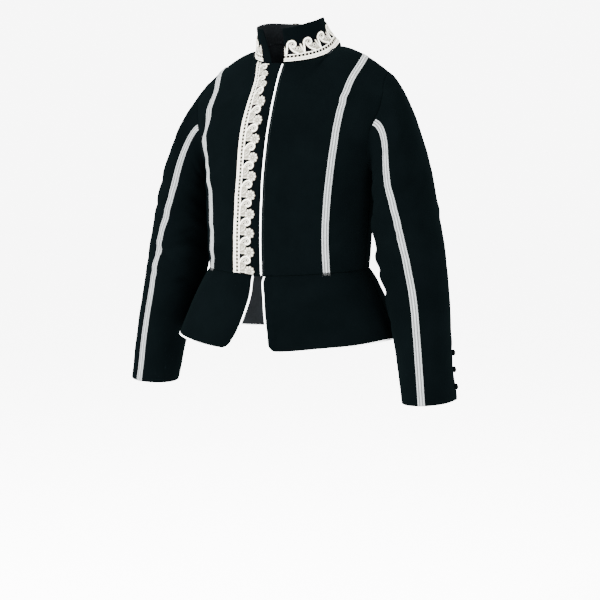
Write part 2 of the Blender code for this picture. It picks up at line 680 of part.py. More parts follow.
def sleeve_normal(turn, row):
    turn, row = np.broadcast_arrays(np.asarray(turn, float), np.asarray(row, float))
    around = sleeve(turn + 1, row) - sleeve(turn - 1, row)
    down = sleeve(turn, np.minimum(row + 0.03, RING_COUNT)) - sleeve(turn, np.maximum(row - 0.03, 0))
    normal = unit(np.cross(around, down))
    share = smoothstep(row / 0.15)[..., None]
    return unit(normal * share + armhole_loop(turn)[1] * (1 - share))


ELBOW_ROW = len(CAP_ROWS) + 2 * ROWS_PER_RING       # each sleeve piece is parted here into two simpler solids


def sleeve_rows():
    return np.concatenate([CAP_ROWS, 1 + np.arange(ROWS_PER_RING * (RING_COUNT - 1) + 1) / ROWS_PER_RING])


def turn_width(turn, row):
    """Metres round the sleeve for each degree of turn."""
    return np.linalg.norm(sleeve(turn + 0.5, row) - sleeve(turn - 0.5, row), axis=-1)


ARMHOLE_STEP = 180 / BODY_ROWS_HIGH      # degrees between the bodice's rows at the armhole


def armhole_chord(turn):
    """The armhole as the bodice's straight facets run: outer and inner points, a gap away from them."""
    first = np.floor(turn / ARMHOLE_STEP + 1e-6) * ARMHOLE_STEP
    share = ((turn - first) / ARMHOLE_STEP)[..., None]
    outer, inner = [], []
    for at in (first, first + ARMHOLE_STEP):
        points, normals, outward = armhole_loop(at)
        points = points + GAP * outward
        outer.append(points)
        inner.append(points - WALL * normals)
    return outer[0] * (1 - share) + outer[1] * share, inner[0] * (1 - share) + inner[1] * share


def sleeve_seams(rows):
    """At each row: the back and front seams and half the braid, in degrees."""
    front, back = table(SLEEVE_FRONT_SEAM, rows), table(SLEEVE_BACK_SEAM, rows)
    return back, front, BRAID_WIDTH / 2 / turn_width(front, rows)


def sleeve_piece(turn, rows):
    row = rows[:, None] + 0 * turn
    outer, inner = skins(sleeve(turn, row), sleeve_normal(turn, row))
    if rows[0] == 0:
        outer[0], inner[0] = armhole_chord(turn[0])
    return outer, inner


def build_sleeves():
    rows = sleeve_rows()
    upper_cells = round((SLEEVE_FRONT_SEAM[0] - SLEEVE_BACK_SEAM[0] + 360) / ARMHOLE_STEP)
    under_cells = 2 * BODY_ROWS_HIGH - upper_cells
    for side in ("left", "right"):
        back, front, half = sleeve_seams(rows)
        gap = GAP / 2 / turn_width(back, rows)
        seam = (front - GAP / 2 / turn_width(front, rows))[:, None]
        share = np.arange(upper_cells)[None, :] / upper_cells
        turn = (back - 360)[:, None] + (front - back + 360)[:, None] * share
        turn[:, 0] += gap
        turn = np.concatenate([turn, (front - half)[:, None], seam], axis=1)
        names = (f"sleeve_upper_{side}", f"forearm_upper_{side}")
        cloth_in_two(names, on_side(side, sleeve_piece(turn, rows)), ELBOW_ROW)
        seam = (front + GAP / 2 / turn_width(front, rows))[:, None]
        share = np.arange(1, under_cells + 1)[None, :] / under_cells
        turn = front[:, None] + (back - front)[:, None] * share
        turn[:, -1] -= gap
        turn = np.concatenate([seam, (front + half)[:, None], turn], axis=1)
        names = (f"sleeve_under_{side}", f"forearm_under_{side}")
        cloth_in_two(names, on_side(side, sleeve_piece(turn, rows)), ELBOW_ROW)

        rows_braid = rows[1:].copy()
        rows_braid[0], rows_braid[-1] = 0.03, RING_COUNT - 0.01
        _, front, half = sleeve_seams(rows_braid)
        turn = front[:, None] + half[:, None] * BRAID_ACROSS[None, :]
        strip = braid_strip(*sleeve_at(turn, rows_braid[:, None] + 0 * turn))
        cloth(f"braid_sleeve_{side}", *on_side(side, strip), SILVER_BRAID)


def sleeve_at(turn, row):
    return sleeve(turn, row), sleeve_normal(turn, row)


# ---- trims -------------------------------------------------------------------------------------

def grid_edge_cord(points, normals, path):
    """Centres of a cord sewn along a grid's edge. path: each edge point and its inner neighbour."""
    edge = np.array([points[at] for at, _ in path])
    away_from = unit(edge - np.array([points[inside] for _, inside in path]))
    along = unit(np.gradient(edge, axis=0))
    away_from = unit(away_from - along * np.sum(away_from * along, axis=1)[:, None])
    normal = np.array([normals[at] for at, _ in path])
    return edge + away_from * (PIPING_RADIUS + GAP) - normal * WALL / 2


def build_piping():
    rows = level_rows()
    rows[0] += 0.0010 / 0.090
    rows[-1] -= 0.0012 / 0.045
    edge = share_at(lap_edge(rows), rows)
    points, normals = bodice(edge, rows), bodice_normal(edge, rows)
    inside = bodice(edge + 0.02, rows)
    out = unit(points - inside)
    centres = points + out * (PIPING_RADIUS + GAP) - normals * 0.0007
    tube("piping_front_left", centres, PIPING_RADIUS, WHITE_PIPING)

    down = skirt_rows()
    for left in (True, False):
        turn, height = skirt_front_grid(left)
        points, normals = skirt(turn, height), skirt_normal(turn, height)
        last_row, last_column = len(down) - 1, turn.shape[1] - 1
        path = [((i, 0), (i, 1)) for i in range(last_row)] + [((last_row, 0), (last_row - 1, 1))]
        path += [((last_row, j), (last_row - 1, j)) for j in range(1, last_column + 1)]
        centres = grid_edge_cord(points, normals, path)
        centres[0] += (0, 0, -0.0012)
        centres[-1] += unit(centres[-2] - centres[-1]) * 0.0003
        if not left:
            centres = centres * np.array([-1, 1, 1])
        tube("piping_skirt_" + ("left" if left else "right"), centres, PIPING_RADIUS, WHITE_PIPING)
    turn, height = skirt_back_grid()
    points, normals = skirt(turn, height), skirt_normal(turn, height)
    last_row = len(down) - 1
    path = [((last_row, j), (last_row - 1, j)) for j in range(turn.shape[1])]
    centres = grid_edge_cord(points, normals, path)
    centres[0] += unit(centres[1] - centres[0]) * 0.0003
    centres[-1] += unit(centres[-2] - centres[-1]) * 0.0003
    tube("piping_skirt_back", centres, PIPING_RADIUS, WHITE_PIPING)


BUTTON_PROFILE = [(0.0030, 0.0004), (0.0052, 0.0016), (0.0056, 0.0034), (0.0040, 0.0056), (0.0016, 0.0064)]
BUTTON_SIDES = 8
BUTTON_ROWS = [5.76, 5.46, 5.16]
BUTTON_FROM_SEAM = 6.0


def build_buttons():
    for side in ("left", "right"):
        for number, row in enumerate(BUTTON_ROWS, 1):
            row = np.array(row)
            turn = table(SLEEVE_BACK_SEAM, row) + BUTTON_FROM_SEAM
            centre, normal = sleeve_at(turn, row)
            across = unit(sleeve(turn + 1, row) - centre)
            across = unit(across - normal * np.dot(across, normal))
            other = np.cross(normal, across)
            turns = np.arange(BUTTON_SIDES) * 2 * math.pi / BUTTON_SIDES
            rings = [centre + normal * height + radius * (across * np.cos(t) + other * np.sin(t))
                     for radius, height in BUTTON_PROFILE for t in turns]
            points = np.array(rings)
            count = BUTTON_SIDES
            last = (len(BUTTON_PROFILE) - 1) * count
            faces = [tuple(range(count))[::-1], tuple(last + k for k in range(count))]
            for i in range(len(BUTTON_PROFILE) - 1):
                for k in range(count):
                    a, b = i * count + k, i * count + (k + 1) % count
                    faces.append((a, b, b + count, a + count))
            if side == "right":
                points, faces = points * np.array([-1, 1, 1]), [face[::-1] for face in faces]
            add_object(f"cuff_button_{side}_{number}", points, faces, BLACK_VELVET)


# One repeat of each lace, in millimetres: along the band, then up from the sewn edge. The front lace ends in a
# rosette, the collar lace in a round leaf and a small lobe, and it runs the other way round.
LACE_REPEAT, LACE_DEPTH = 36.0, 44.0
LACE_FOOT = [-18, -9, 0, 9]
Lace = namedtuple("Lace", "edge gap inside")
FRONT_LACE = Lace(
    [(-18, 29), (-16.6, 33.5), (-13, 36.6), (-8.5, 36.6), (-5, 35), (-4.4, 39), (-1, 42.6), (4, 44), (9, 42.6),
     (12.6, 39), (13.6, 33.5), (12, 28), (15.2, 25.5)],
    [(-11.5, 13.8), (0.5, 13.8), (-3, 23.4)],
    [(-15, 14), (9, 14), (15, 13), (-10.5, 26), (4, 24), (4, 34)])
COLLAR_LACE = Lace(
    [(-18, 31.3), (-16.6, 30), (-14.4, 32.5), (-12.6, 38), (-8.5, 41.6), (-0.3, 44), (4.6, 42), (7, 37.5),
     (8, 31.5), (10, 28.5), (13.5, 28.5), (16.2, 33)],
    [(-10.5, 15), (6, 15), (-6.5, 25.5)],
    [(-15, 15), (-15, 24), (-0.3, 34), (4, 27), (12, 22), (13, 14)])
FRONT_LACE_ENDS = (6, 7)       # edge points left out of its first repeat, and kept of its last one


def lace_pattern(lace, repeats, ends=None):
    """Points and triangles of a length of lace, its gaps left open. It may start and end inside a repeat."""
    def ring_edges(first, count):
        return [(first + i, first + (i + 1) % count) for i in range(count)]

    holes, border = [], []
    for k in range(repeats):
        border += [(LACE_REPEAT * (k + 0.5) + x, y) for x, y in lace.edge]
    if ends is None:
        border.append((LACE_REPEAT * repeats, lace.edge[0][1]))
    else:
        border = border[ends[0]:ends[1] - len(lace.edge)]
    start, stop = border[0][0], border[-1][0]
    foot = [(LACE_REPEAT * (k + 0.5) + x, 0.0) for k in range(repeats) for x in LACE_FOOT]
    foot = [(start, 0.0)] + [point for point in foot if start + 3 < point[0] < stop - 3] + [(stop, 0.0)]
    points = border + foot[::-1]
    edges = ring_edges(0, len(points))
    outline = list(points)
    for k in range(repeats):
        if ends is None or 0 < k < repeats - 1:
            ring = [(LACE_REPEAT * (k + 0.5) + x, y) for x, y in lace.gap]
            edges += ring_edges(len(points), len(ring))
            points += ring
            holes.append(ring)
        points += [(LACE_REPEAT * (k + 0.5) + x, y) for x, y in lace.inside
                   if start + 3 < LACE_REPEAT * (k + 0.5) + x < stop - 3]
    found, _, faces, *_ = delaunay_2d_cdt([Vector(p) for p in points], edges, [], 0, 1e-6)
    found = np.array([tuple(p) for p in found])
    middles = [found[list(face)].mean(axis=0) for face in faces]
    kept = [tuple(face) for face, middle in zip(faces, middles)
            if inside(middle, outline) and not any(inside(middle, hole) for hole in holes)]
    return found, kept


def inside(point, ring):
    x, y = point
    hit = False
    for (x0, y0), (x1, y1) in zip(ring, ring[1:] + ring[:1]):
        if (y0 > y) != (y1 > y) and x < (x1 - x0) * (y - y0) / (y1 - y0) + x0:
            hit = not hit
    return hit


def sheet_solid(name, outer, inner, faces, finish):
    """A closed solid from triangles facing out: the outer skin, the inner one and the rims."""
    count = len(outer)
    seen = {}
    for face in faces:
        for a, b in zip(face, face[1:] + face[:1]):
            seen[(a, b)] = True
    rims = [(b, a) for a, b in seen if (b, a) not in seen]
    every = list(faces) + [tuple(i + count for i in face[::-1]) for face in faces]
    for b, a in rims:
        every.append((b, a, a + count, b + count))
    return add_object(name, np.concatenate([outer, inner]), every, finish)


# How far out the front lace's sewn edge and its scalloped edge lie, at each level
LACE_EDGE_OUT = [-0.0675, -0.0645, -0.0612, -0.0625, -0.0588, -0.0528, -0.0620]
LACE_TIPS_OUT = [-0.0210, -0.0195, -0.0190, -0.0185, -0.0185, -0.0225, -0.0285]
FRONT_LACE_REPEATS, COLLAR_LACE_REPEATS = 13, 12
COLLAR_LACE_LIFT = 0.0007
COLLAR_LACE_HEIGHT = 0.93      # its height against that of the front lace
COLLAR_LACE_START = 1.0        # degrees from the left end of the collar to its start
COLLAR_LACE_SHORT = 15.0       # and from its end to the right end of the collar


def length_table(fn, stop):
    """Evenly spaced parameter values and the length along the curve up to each."""
    t = np.linspace(0, stop, 241)
    return t, np.concatenate([[0], np.cumsum(np.linalg.norm(np.diff(fn(t), axis=0), axis=1))])


def build_front_lace():
    points, faces = lace_pattern(FRONT_LACE, FRONT_LACE_REPEATS, FRONT_LACE_ENDS)
    stop = TOP - 0.05
    t, length = length_table(lambda v: bodice(share_at(table(LACE_EDGE_OUT, v), v), v), stop)
    first, last = points[:, 0].min(), points[:, 0].max()
    along = (points[:, 0] - first) / (last - first) * (length[-1] - 0.003) + 0.002
    level = np.interp(along, length, t)
    across = points[:, 1] / LACE_DEPTH
    out = table(LACE_EDGE_OUT, level) * (1 - across) + table(LACE_TIPS_OUT, level) * across
    share = share_at(out, level)
    skin, normal = bodice(share, level), bodice_normal(share, level)
    skin = skin - normal * lap_depth(out, level)[:, None]
    lift = (TRIM_LIFT + 0.0002 + 0.0006 * (1 - smoothstep(level / 0.5)))[:, None]
    sheet_solid("lace_front", skin + normal * (lift + LACE_THICK), skin + normal * lift,
                oriented(skin, normal, faces), IVORY_LACE)


def oriented(points, normals, faces):
    """The faces, all turned together so that they look along the normals."""
    a, b, c = (points[[face[k] for face in faces]] for k in range(3))
    facing = np.sum(np.cross(b - a, c - a) * normals[[face[0] for face in faces]])
    return faces if facing > 0 else [face[::-1] for face in faces]


def build_collar_lace():
    points, faces = lace_pattern(COLLAR_LACE, COLLAR_LACE_REPEATS)
    share = points[:, 0] / (LACE_REPEAT * COLLAR_LACE_REPEATS)
    first = COLLAR_LEFT.base + COLLAR_LACE_START
    base = first + (360 - COLLAR_RIGHT.base - COLLAR_LACE_SHORT - first) * share
    reach = np.linalg.norm(collar(base, 1.0) - collar(base, 0.0), axis=1)
    height = (0.0022 + points[:, 1] / 1000 * COLLAR_LACE_HEIGHT) / reach
    turn = collar_turn(base, height)
    skin, normal = collar(turn, height), collar_normal(turn, height)
    outer, inner = skin + normal * (COLLAR_LACE_LIFT + LACE_THICK), skin + normal * COLLAR_LACE_LIFT
    sheet_solid("lace_collar", outer, inner, oriented(skin, normal, faces), IVORY_LACE)


def main():
    for old in list(bpy.data.objects):
        bpy.data.objects.remove(old)
    build_bodice()
    build_body_braid()
    build_collar()
    build_skirt()
    build_sleeves()
    build_piping()
    build_buttons()
    build_front_lace()
    build_collar_lace()


main()
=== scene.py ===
"""A man's velvet doublet, dressed: cloth with its creases, braid, piping, lace, covered buttons and stitches.

Laid out as an add-on: the sizes and colours are properties, each group of pieces has an operator, and the
sidebar's panel lists them. Metres, +Z up, the front faces -Y and the wearer's left is +X.
"""

import math
from collections import namedtuple

import bmesh
import bpy
import numpy as np
from bpy.props import FloatProperty, FloatVectorProperty, PointerProperty
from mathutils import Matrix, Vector


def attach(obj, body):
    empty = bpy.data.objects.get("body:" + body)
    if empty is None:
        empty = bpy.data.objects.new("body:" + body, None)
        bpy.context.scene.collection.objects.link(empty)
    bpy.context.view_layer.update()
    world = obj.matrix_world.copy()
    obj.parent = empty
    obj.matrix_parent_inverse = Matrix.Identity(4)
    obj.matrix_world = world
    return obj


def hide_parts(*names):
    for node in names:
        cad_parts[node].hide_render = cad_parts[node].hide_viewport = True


bl_info = {
    "name": "Velvet Doublet",
    "version": (1, 0, 0),
    "blender": (4, 5, 0),
    "location": "View3D > Sidebar > Doublet",
    "description": "Makes a velvet doublet with silver braid, white piping and ivory lace",
    "category": "Add Mesh",
}

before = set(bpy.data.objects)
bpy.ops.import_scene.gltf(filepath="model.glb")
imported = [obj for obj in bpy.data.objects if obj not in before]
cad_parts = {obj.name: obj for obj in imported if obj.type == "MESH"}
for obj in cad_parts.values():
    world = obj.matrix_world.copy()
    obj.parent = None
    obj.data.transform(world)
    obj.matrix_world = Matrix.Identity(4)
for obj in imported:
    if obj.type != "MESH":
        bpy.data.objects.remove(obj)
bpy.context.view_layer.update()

# Cloth and seams
WALL = 0.0022            # velvet with its interlining
GAP = 0.0003             # between two pieces at a seam

# Bodice: one row for each level, from the waist up. Half widths and depths of a rounded section.
Level = namedtuple("Level", "z_centre z_side half_width front side back front_round back_round")
FRONT_LEVELS = {
    "waist":    Level(-0.4270, -0.4160, 0.1540, 0.1360, 0.031, -0.074, 3.0, 2.4),
    "ribs":     Level(-0.3380, -0.3320, 0.1600, 0.1390, 0.030, -0.080, 2.9, 2.4),
    "underarm": Level(-0.2445, -0.2385, 0.1680, 0.1320, 0.026, -0.094, 2.8, 2.5),
    "chest":    Level(-0.1680, -0.1660, 0.1930, 0.1165, 0.012, -0.102, 2.6, 2.6),
    "yoke":     Level(-0.1130, -0.1250, 0.2150, 0.0985, 0.003, -0.098, 2.3, 2.4),
    "shoulder": Level(-0.0690, -0.0980, 0.2350, 0.0820, 0.000, -0.076, 2.0, 2.1),
}
BACK_Z_CENTRE = {"waist": -0.410, "ribs": -0.328, "underarm": -0.237, "chest": -0.155, "yoke": -0.089,
                 "shoulder": -0.035}
LEVELS = list(FRONT_LEVELS)
UNDERARM = LEVELS.index("underarm")
TOP = len(LEVELS)        # the neck and shoulder seams come after the last level

# Neck and shoulder seams
NECK_HALF = 0.0845
NECK_FRONT, NECK_FRONT_Z = 0.060, -0.034
NECK_BACK, NECK_BACK_Z = -0.060, 0.018
SHOULDER_HALF, SHOULDER_DROP = 0.186, 0.052
NECK_SHARE = 0.40        # share of a half section, from the centre, that runs into the neck
TIP_SHARE = 0.76         # where the shoulder seam ends

# Princess seams: how far round the half section they lie, at every half level from the waist to the shoulder
PRINCESS_LEFT = [0.59, 0.575, 0.57, 0.58, 0.595, 0.60, 0.605, 0.62, 0.64, 0.675, 0.695, 0.65, 0.60]
PRINCESS_RIGHT = [0.635, 0.61, 0.61, 0.625, 0.67, 0.705, 0.70, 0.70, 0.71, 0.73, 0.74, 0.705, 0.66]
# Armhole: share at even turns from the shoulder's tip to the underarm
ARMHOLE_FRONT = [0.760, 0.783, 0.850, 0.832, 0.800, 0.860, 1.000]
ARMHOLE_BACK = [0.760, 0.788, 0.848, 0.825, 0.810, 0.880, 1.000]

# Centre front: the left front laps over the right one. How far out the left edge lies, from waist to neck
LAP_EDGE = [-0.0070, -0.0065, -0.0055, -0.0040, -0.0025, -0.0005, 0.0]
LAP_UNDER = 0.020        # how far the right front runs on beneath the left one
LAP_DROP, LAP_SLOPE = 0.0033, 0.010
LAP_CLEAR = 0.0015       # from the left edge to where the right front has dropped

# Collar
COLLAR_TOP_LEFT, COLLAR_TOP_RIGHT = 0.0605, 0.068
COLLAR_HOLLOW_LEFT, COLLAR_HOLLOW_RIGHT = 0.0055, 0.0025     # how far its sides bow in
COLLAR_TOP_FRONT, COLLAR_TOP_BACK = 0.087, -0.039
COLLAR_TOP_Z = (0.024, 0.045, 0.0515)             # front, side, back
COLLAR_LEFT_RISE = 0.0045                         # the left side stands that much higher
CollarEnd = namedtuple("CollarEnd", "base top")   # degrees from the centre front
COLLAR_LEFT, COLLAR_RIGHT = CollarEnd(0.0, 10.0), CollarEnd(18.0, 32.0)

# Skirt of the doublet
SKIRT_LENGTH = 0.130
HEM_HALF, HEM_FRONT, HEM_SIDE, HEM_BACK, HEM_ROUND = 0.218, 0.202, 0.031, -0.134, 2.2
HEM_SIDE_RISE = 0.018
HEM_FLARE = 0.82         # below 1 the skirt swings out sooner than it falls
SkirtEdge = namedtuple("SkirtEdge", "down left right")
SKIRT_EDGE = [
    SkirtEdge(0.00, -0.0036, 0.0270),
    SkirtEdge(0.25, 0.0085, 0.0215),
    SkirtEdge(0.50, 0.0190, 0.0250),
    SkirtEdge(0.75, 0.0300, 0.0315),
    SkirtEdge(1.00, 0.0400, 0.0460),
]
CORNER_LEFT, CORNER_RIGHT = 0.014, 0.012

# Sleeves: rings along the arm, below the armhole
Ring = namedtuple("Ring", "z out forward half_width half_depth tilt")
SLEEVE_RINGS = [
    Ring(-0.262, 0.2275, 0.026, 0.0545, 0.0665, 0.12),
    Ring(-0.330, 0.2375, 0.029, 0.0590, 0.0670, 0.14),
    Ring(-0.399, 0.2490, 0.033, 0.0605, 0.0650, 0.14),
    Ring(-0.469, 0.2620, 0.039, 0.0575, 0.0600, 0.14),
    Ring(-0.552, 0.2780, 0.052, 0.0510, 0.0540, 0.12),
    Ring(-0.649, 0.2915, 0.062, 0.0460, 0.0500, 0.08),
]
RING_COUNT = len(SLEEVE_RINGS)
CAP_SHARE = 0.28             # share of the sleeve's length that lies above the first ring
CAP_PULL_TOP, CAP_PULL_UNDER = 0.120, 0.022      # how strongly the cap leaves the armhole sideways
SHOULDER_CORNER = 20.0       # degrees over which the cap takes no notice of the corner at the shoulder's tip
CUFF_FLARE, CUFF_FLARE_TURN = 0.009, 318.0
# Degrees round the sleeve: 0 outside, 90 front, 180 against the body, 270 behind
SLEEVE_FRONT_SEAM = [108.0, 95.0, 85.0, 79.0, 77.0, 80.5, 83.0]
SLEEVE_BACK_SEAM = [270.0, 273.0, 285.0, 300.0, 315.0, 328.0, 336.0]

# Trims
BRAID_FACE, BRAID_THICK, BRAID_RIB = 0.0124, 0.0010, 0.0005     # the braid draws in a little where it is sewn
PIPING_RADIUS = 0.0017
LACE_THICK = 0.0011


def unit(vectors):
    return vectors / np.maximum(np.linalg.norm(vectors, axis=-1, keepdims=True), 1e-12)


def floats(first, second):
    """Both values as numbers with a fraction, spread to one shape."""
    return np.broadcast_arrays(np.asarray(first, float), np.asarray(second, float))


def smoothstep(x):
    x = np.clip(x, 0.0, 1.0)
    return x * x * (3 - 2 * x)


def place(out, forward, up):
    """Points from how far out to the wearer's left, forward and up they lie."""
    out, forward, up = np.broadcast_arrays(out, forward, up)
    return np.stack([out, -forward, up], axis=-1)


def spline(knots, t):
    """Catmull-Rom through knots, one row each, with a ghost row at both ends. t: 0 at the first real knot."""
    t = np.asarray(t, float)
    cell = np.clip(np.floor(t).astype(int), 0, len(knots) - 4)
    u = (t - cell)[..., None]
    index = np.indices(t.shape)
    k = [knots[(cell + i, *index)] for i in range(4)]
    return 0.5 * (2 * k[1] + (k[2] - k[0]) * u + (2 * k[0] - 5 * k[1] + 4 * k[2] - k[3]) * u**2
                  + (3 * k[1] - 3 * k[2] + k[3] - k[0]) * u**3)


def table(values, t):
    """A smooth curve through evenly spaced numbers."""
    v = np.asarray(values, float)
    v = np.concatenate([[2 * v[0] - v[1]], v, [2 * v[-1] - v[-2]]])
    t = np.asarray(t, float)
    return spline(np.broadcast_to(v[(...,) + (None,) * t.ndim], (len(v), *t.shape))[..., None], t)[..., 0]


def oval(angle, half, depth, power):
    """From the middle of a rounded section to its outline."""
    wide, deep = np.abs(np.sin(angle) / half), np.abs(np.cos(angle) / depth)
    return (wide**power + deep**power) ** (-1 / power)


def found(out, low, high, surface):
    """Where between low and high a surface lies that far out, by halving."""
    low, high = np.full(np.shape(out), low), np.full(np.shape(out), high)
    for _ in range(40):
        middle = (low + high) / 2
        beyond = surface(middle)[..., 0] > out
        low, high = np.where(beyond, low, middle), np.where(beyond, middle, high)
    return (low + high) / 2


def ridge(across, beside=0.5, at=1.8, width=1.0):
    """A rounded ridge with a shallow trough on either side."""
    return np.exp(-across**2) - beside * np.exp(-((np.abs(across) - at) / width) ** 2)


def wall_normal(surface, turn, height, settle):
    """The normal of a wall that stands on a level foot, or hangs from one. It starts level there."""
    along = surface(turn + 0.5, height) - surface(turn - 0.5, height)
    up = surface(turn, np.minimum(height + 0.02, 1)) - surface(turn, np.maximum(height - 0.02, 0))
    normal = unit(np.cross(along, up))
    flat = unit(normal * np.array([1, 1, 0]))
    share = np.clip(np.asarray(height) * settle, 0, 1)[..., None]
    return unit(flat * (1 - share) + normal * share)


# ---- the bodice's surface ------------------------------------------------------------------------

def level_point(name, share, back):
    """A point of one level's section. share: 0 at the centre, 1 at the side, negative to the right."""
    level = FRONT_LEVELS[name]
    angle = share * math.pi / 2
    depth = np.where(back, level.side - level.back, level.front - level.side)
    power = np.where(back, level.back_round, level.front_round)
    reach = oval(angle, level.half_width, depth, power)
    forward = level.side + np.where(back, -1.0, 1.0) * reach * np.cos(angle)
    z_centre = np.where(back, BACK_Z_CENTRE[name], level.z_centre)
    return place(reach * np.sin(angle), forward, z_centre + (level.z_side - z_centre) * np.sin(angle) ** 2)


def neck_height(turn, back):
    """Height of the neck seam, turn radians round from the front or back centre."""
    c = np.abs(np.cos(turn))
    return np.where(back, c * (NECK_BACK_Z + 0.012 * (1 - c)), NECK_FRONT_Z * c * (1.35 - 0.35 * c))


def seam_point(share, back):
    """The neck seam, then the shoulder seam, that end the bodice at the top."""
    side, share = np.sign(share), np.abs(share)
    turn = np.clip(share / NECK_SHARE, 0, 1) * math.pi / 2
    depth = np.where(back, NECK_BACK, NECK_FRONT)
    along = np.maximum(share - NECK_SHARE, 0) / (TIP_SHARE - NECK_SHARE)
    out = NECK_HALF * np.sin(turn) + (SHOULDER_HALF - NECK_HALF) * along
    return place(side * out, depth * np.cos(turn), neck_height(turn, back) - SHOULDER_DROP * along**1.6)


def bodice(share, level, back=False):
    """A point of the bodice's outside. level: 0 at the waist to TOP at the neck and shoulder seams."""
    share, level, back = np.broadcast_arrays(np.asarray(share, float), np.asarray(level, float), back)
    rows = [level_point(name, share, back) for name in LEVELS]
    top = seam_point(share, back)
    over = level_point(LEVELS[-1], share, ~back)
    blend = smoothstep(np.abs(share) / NECK_SHARE)[..., None]
    beyond = (1 - blend) * (2 * top - rows[-1]) + blend * over
    knots = np.stack([2 * rows[0] - rows[1], *rows, top, beyond])
    return spline(knots, level)


def bodice_normal(share, level, back=False):
    step = 1e-3
    along = bodice(share + step, level, back) - bodice(share - step, level, back)
    level = np.asarray(level, float)
    low, high = np.maximum(level - step, 0), np.minimum(level + step, TOP)
    up = bodice(share, high, back) - bodice(share, low, back)
    normal = unit(np.cross(along, up))
    return np.where(np.broadcast_to(back, normal.shape[:-1])[..., None], -normal, normal)


def share_at(out, level, back=False):
    """The share at which the bodice lies that far out."""
    out, level = floats(out, level)
    return found(out, -0.5, 0.5, lambda share: bodice(share, level, back))


def armhole_level(turn):
    """turn: 0 at the shoulder, 180 under the arm."""
    return UNDERARM + (TOP - UNDERARM) * (1 + np.cos(np.radians(turn))) / 2


def armhole_share(level, back):
    rise = np.clip((np.asarray(level, float) - UNDERARM) / (TOP - UNDERARM), 0, 1)
    turn = np.arccos(2 * rise - 1) / math.pi * (len(ARMHOLE_FRONT) - 1)
    return np.where(back, table(ARMHOLE_BACK, turn), table(ARMHOLE_FRONT, turn))


def princess_share(level, right=False):
    return table(PRINCESS_RIGHT if right else PRINCESS_LEFT, 2 * np.asarray(level, float))


def armhole_loop(turns):
    """Round the left armhole from the top by the front: points, normals and the way out of the bodice."""
    def at(turn):
        turn = np.mod(turn, 360.0)
        behind = turn > 180.0
        level = armhole_level(np.where(behind, 360.0 - turn, turn))
        share = armhole_share(level, behind)
        return bodice(share, level, behind), bodice_normal(share, level, behind)

    points, normals = at(turns)
    tangent = unit(at(turns + 0.5)[0] - at(turns - 0.5)[0])
    outward = unit(np.cross(tangent, normals))
    outward *= np.sign(outward @ np.array([1.0, 0.0, 0.6]))[..., None]
    return points, normals, outward


def share_width(share, level, back=False):
    """Metres round the bodice for each unit of share."""
    step = 1e-3
    ahead, behind = bodice(share + step, level, back), bodice(share - step, level, back)
    return np.linalg.norm(ahead - behind, axis=-1) / (2 * step)


def inset_share(share, level, sign, back=False):
    """Moves a seam line sideways by half a gap."""
    return share + sign * GAP / 2 / share_width(share, level, back)


def lap_edge(level):
    return table(LAP_EDGE, level)


def lap_depth(out, level):
    """How far the right front lies beneath the smooth surface, that far out."""
    start = lap_edge(level) - LAP_CLEAR
    return LAP_DROP * smoothstep((out - (start - LAP_SLOPE)) / LAP_SLOPE)


def spread(top_share, start, stop):
    """Columns down a panel: the shares at the top row, drawn out to run from start to stop at every row."""
    across = (top_share - top_share[0]) / (top_share[-1] - top_share[0])
    return start[:, None] + (stop - start)[:, None] * across[None, :]


def collar(turn, height):
    """turn: degrees from the centre front, through the left, to 180 at the centre back. height 0 to 1."""
    turn, height = floats(turn, height)
    angle = np.radians(turn)
    s, c = np.sin(angle), np.cos(angle)
    back = c < 0
    base = place(NECK_HALF * s, np.where(back, -NECK_BACK, NECK_FRONT) * c, neck_height(angle, back) + GAP)
    middle, reach = (COLLAR_TOP_FRONT + COLLAR_TOP_BACK) / 2, (COLLAR_TOP_FRONT - COLLAR_TOP_BACK) / 2
    front_z, side_z, back_z = COLLAR_TOP_Z
    rise = side_z - front_z
    top_z = np.where(back, side_z + rise * -c + (back_z - side_z - rise) * c * c, side_z - rise * c)
    left = smoothstep(0.5 + s)
    half = COLLAR_TOP_RIGHT + (COLLAR_TOP_LEFT - COLLAR_TOP_RIGHT) * left
    hollow = COLLAR_HOLLOW_RIGHT + (COLLAR_HOLLOW_LEFT - COLLAR_HOLLOW_RIGHT) * left
    top = place(half * s, middle + reach * c, top_z + COLLAR_LEFT_RISE * np.maximum(s, 0) ** 2)
    out = unit(place(s / NECK_HALF, c / NECK_FRONT, 0 * s))
    return base + (top - base) * height[..., None] - out * (hollow * np.sin(math.pi * height))[..., None]


def collar_normal(turn, height):
    return wall_normal(collar, turn, height, 3)


def collar_turn(base, height):
    """The turn at that height over a point of the collar's foot: the ends lean away from the opening."""
    left = COLLAR_LEFT.base + (COLLAR_LEFT.top - COLLAR_LEFT.base) * height
    right = COLLAR_RIGHT.base + (COLLAR_RIGHT.top - COLLAR_RIGHT.base) * height
    share = (base - COLLAR_LEFT.base) / (360 - COLLAR_RIGHT.base - COLLAR_LEFT.base)
    return left + (360 - right - left) * share


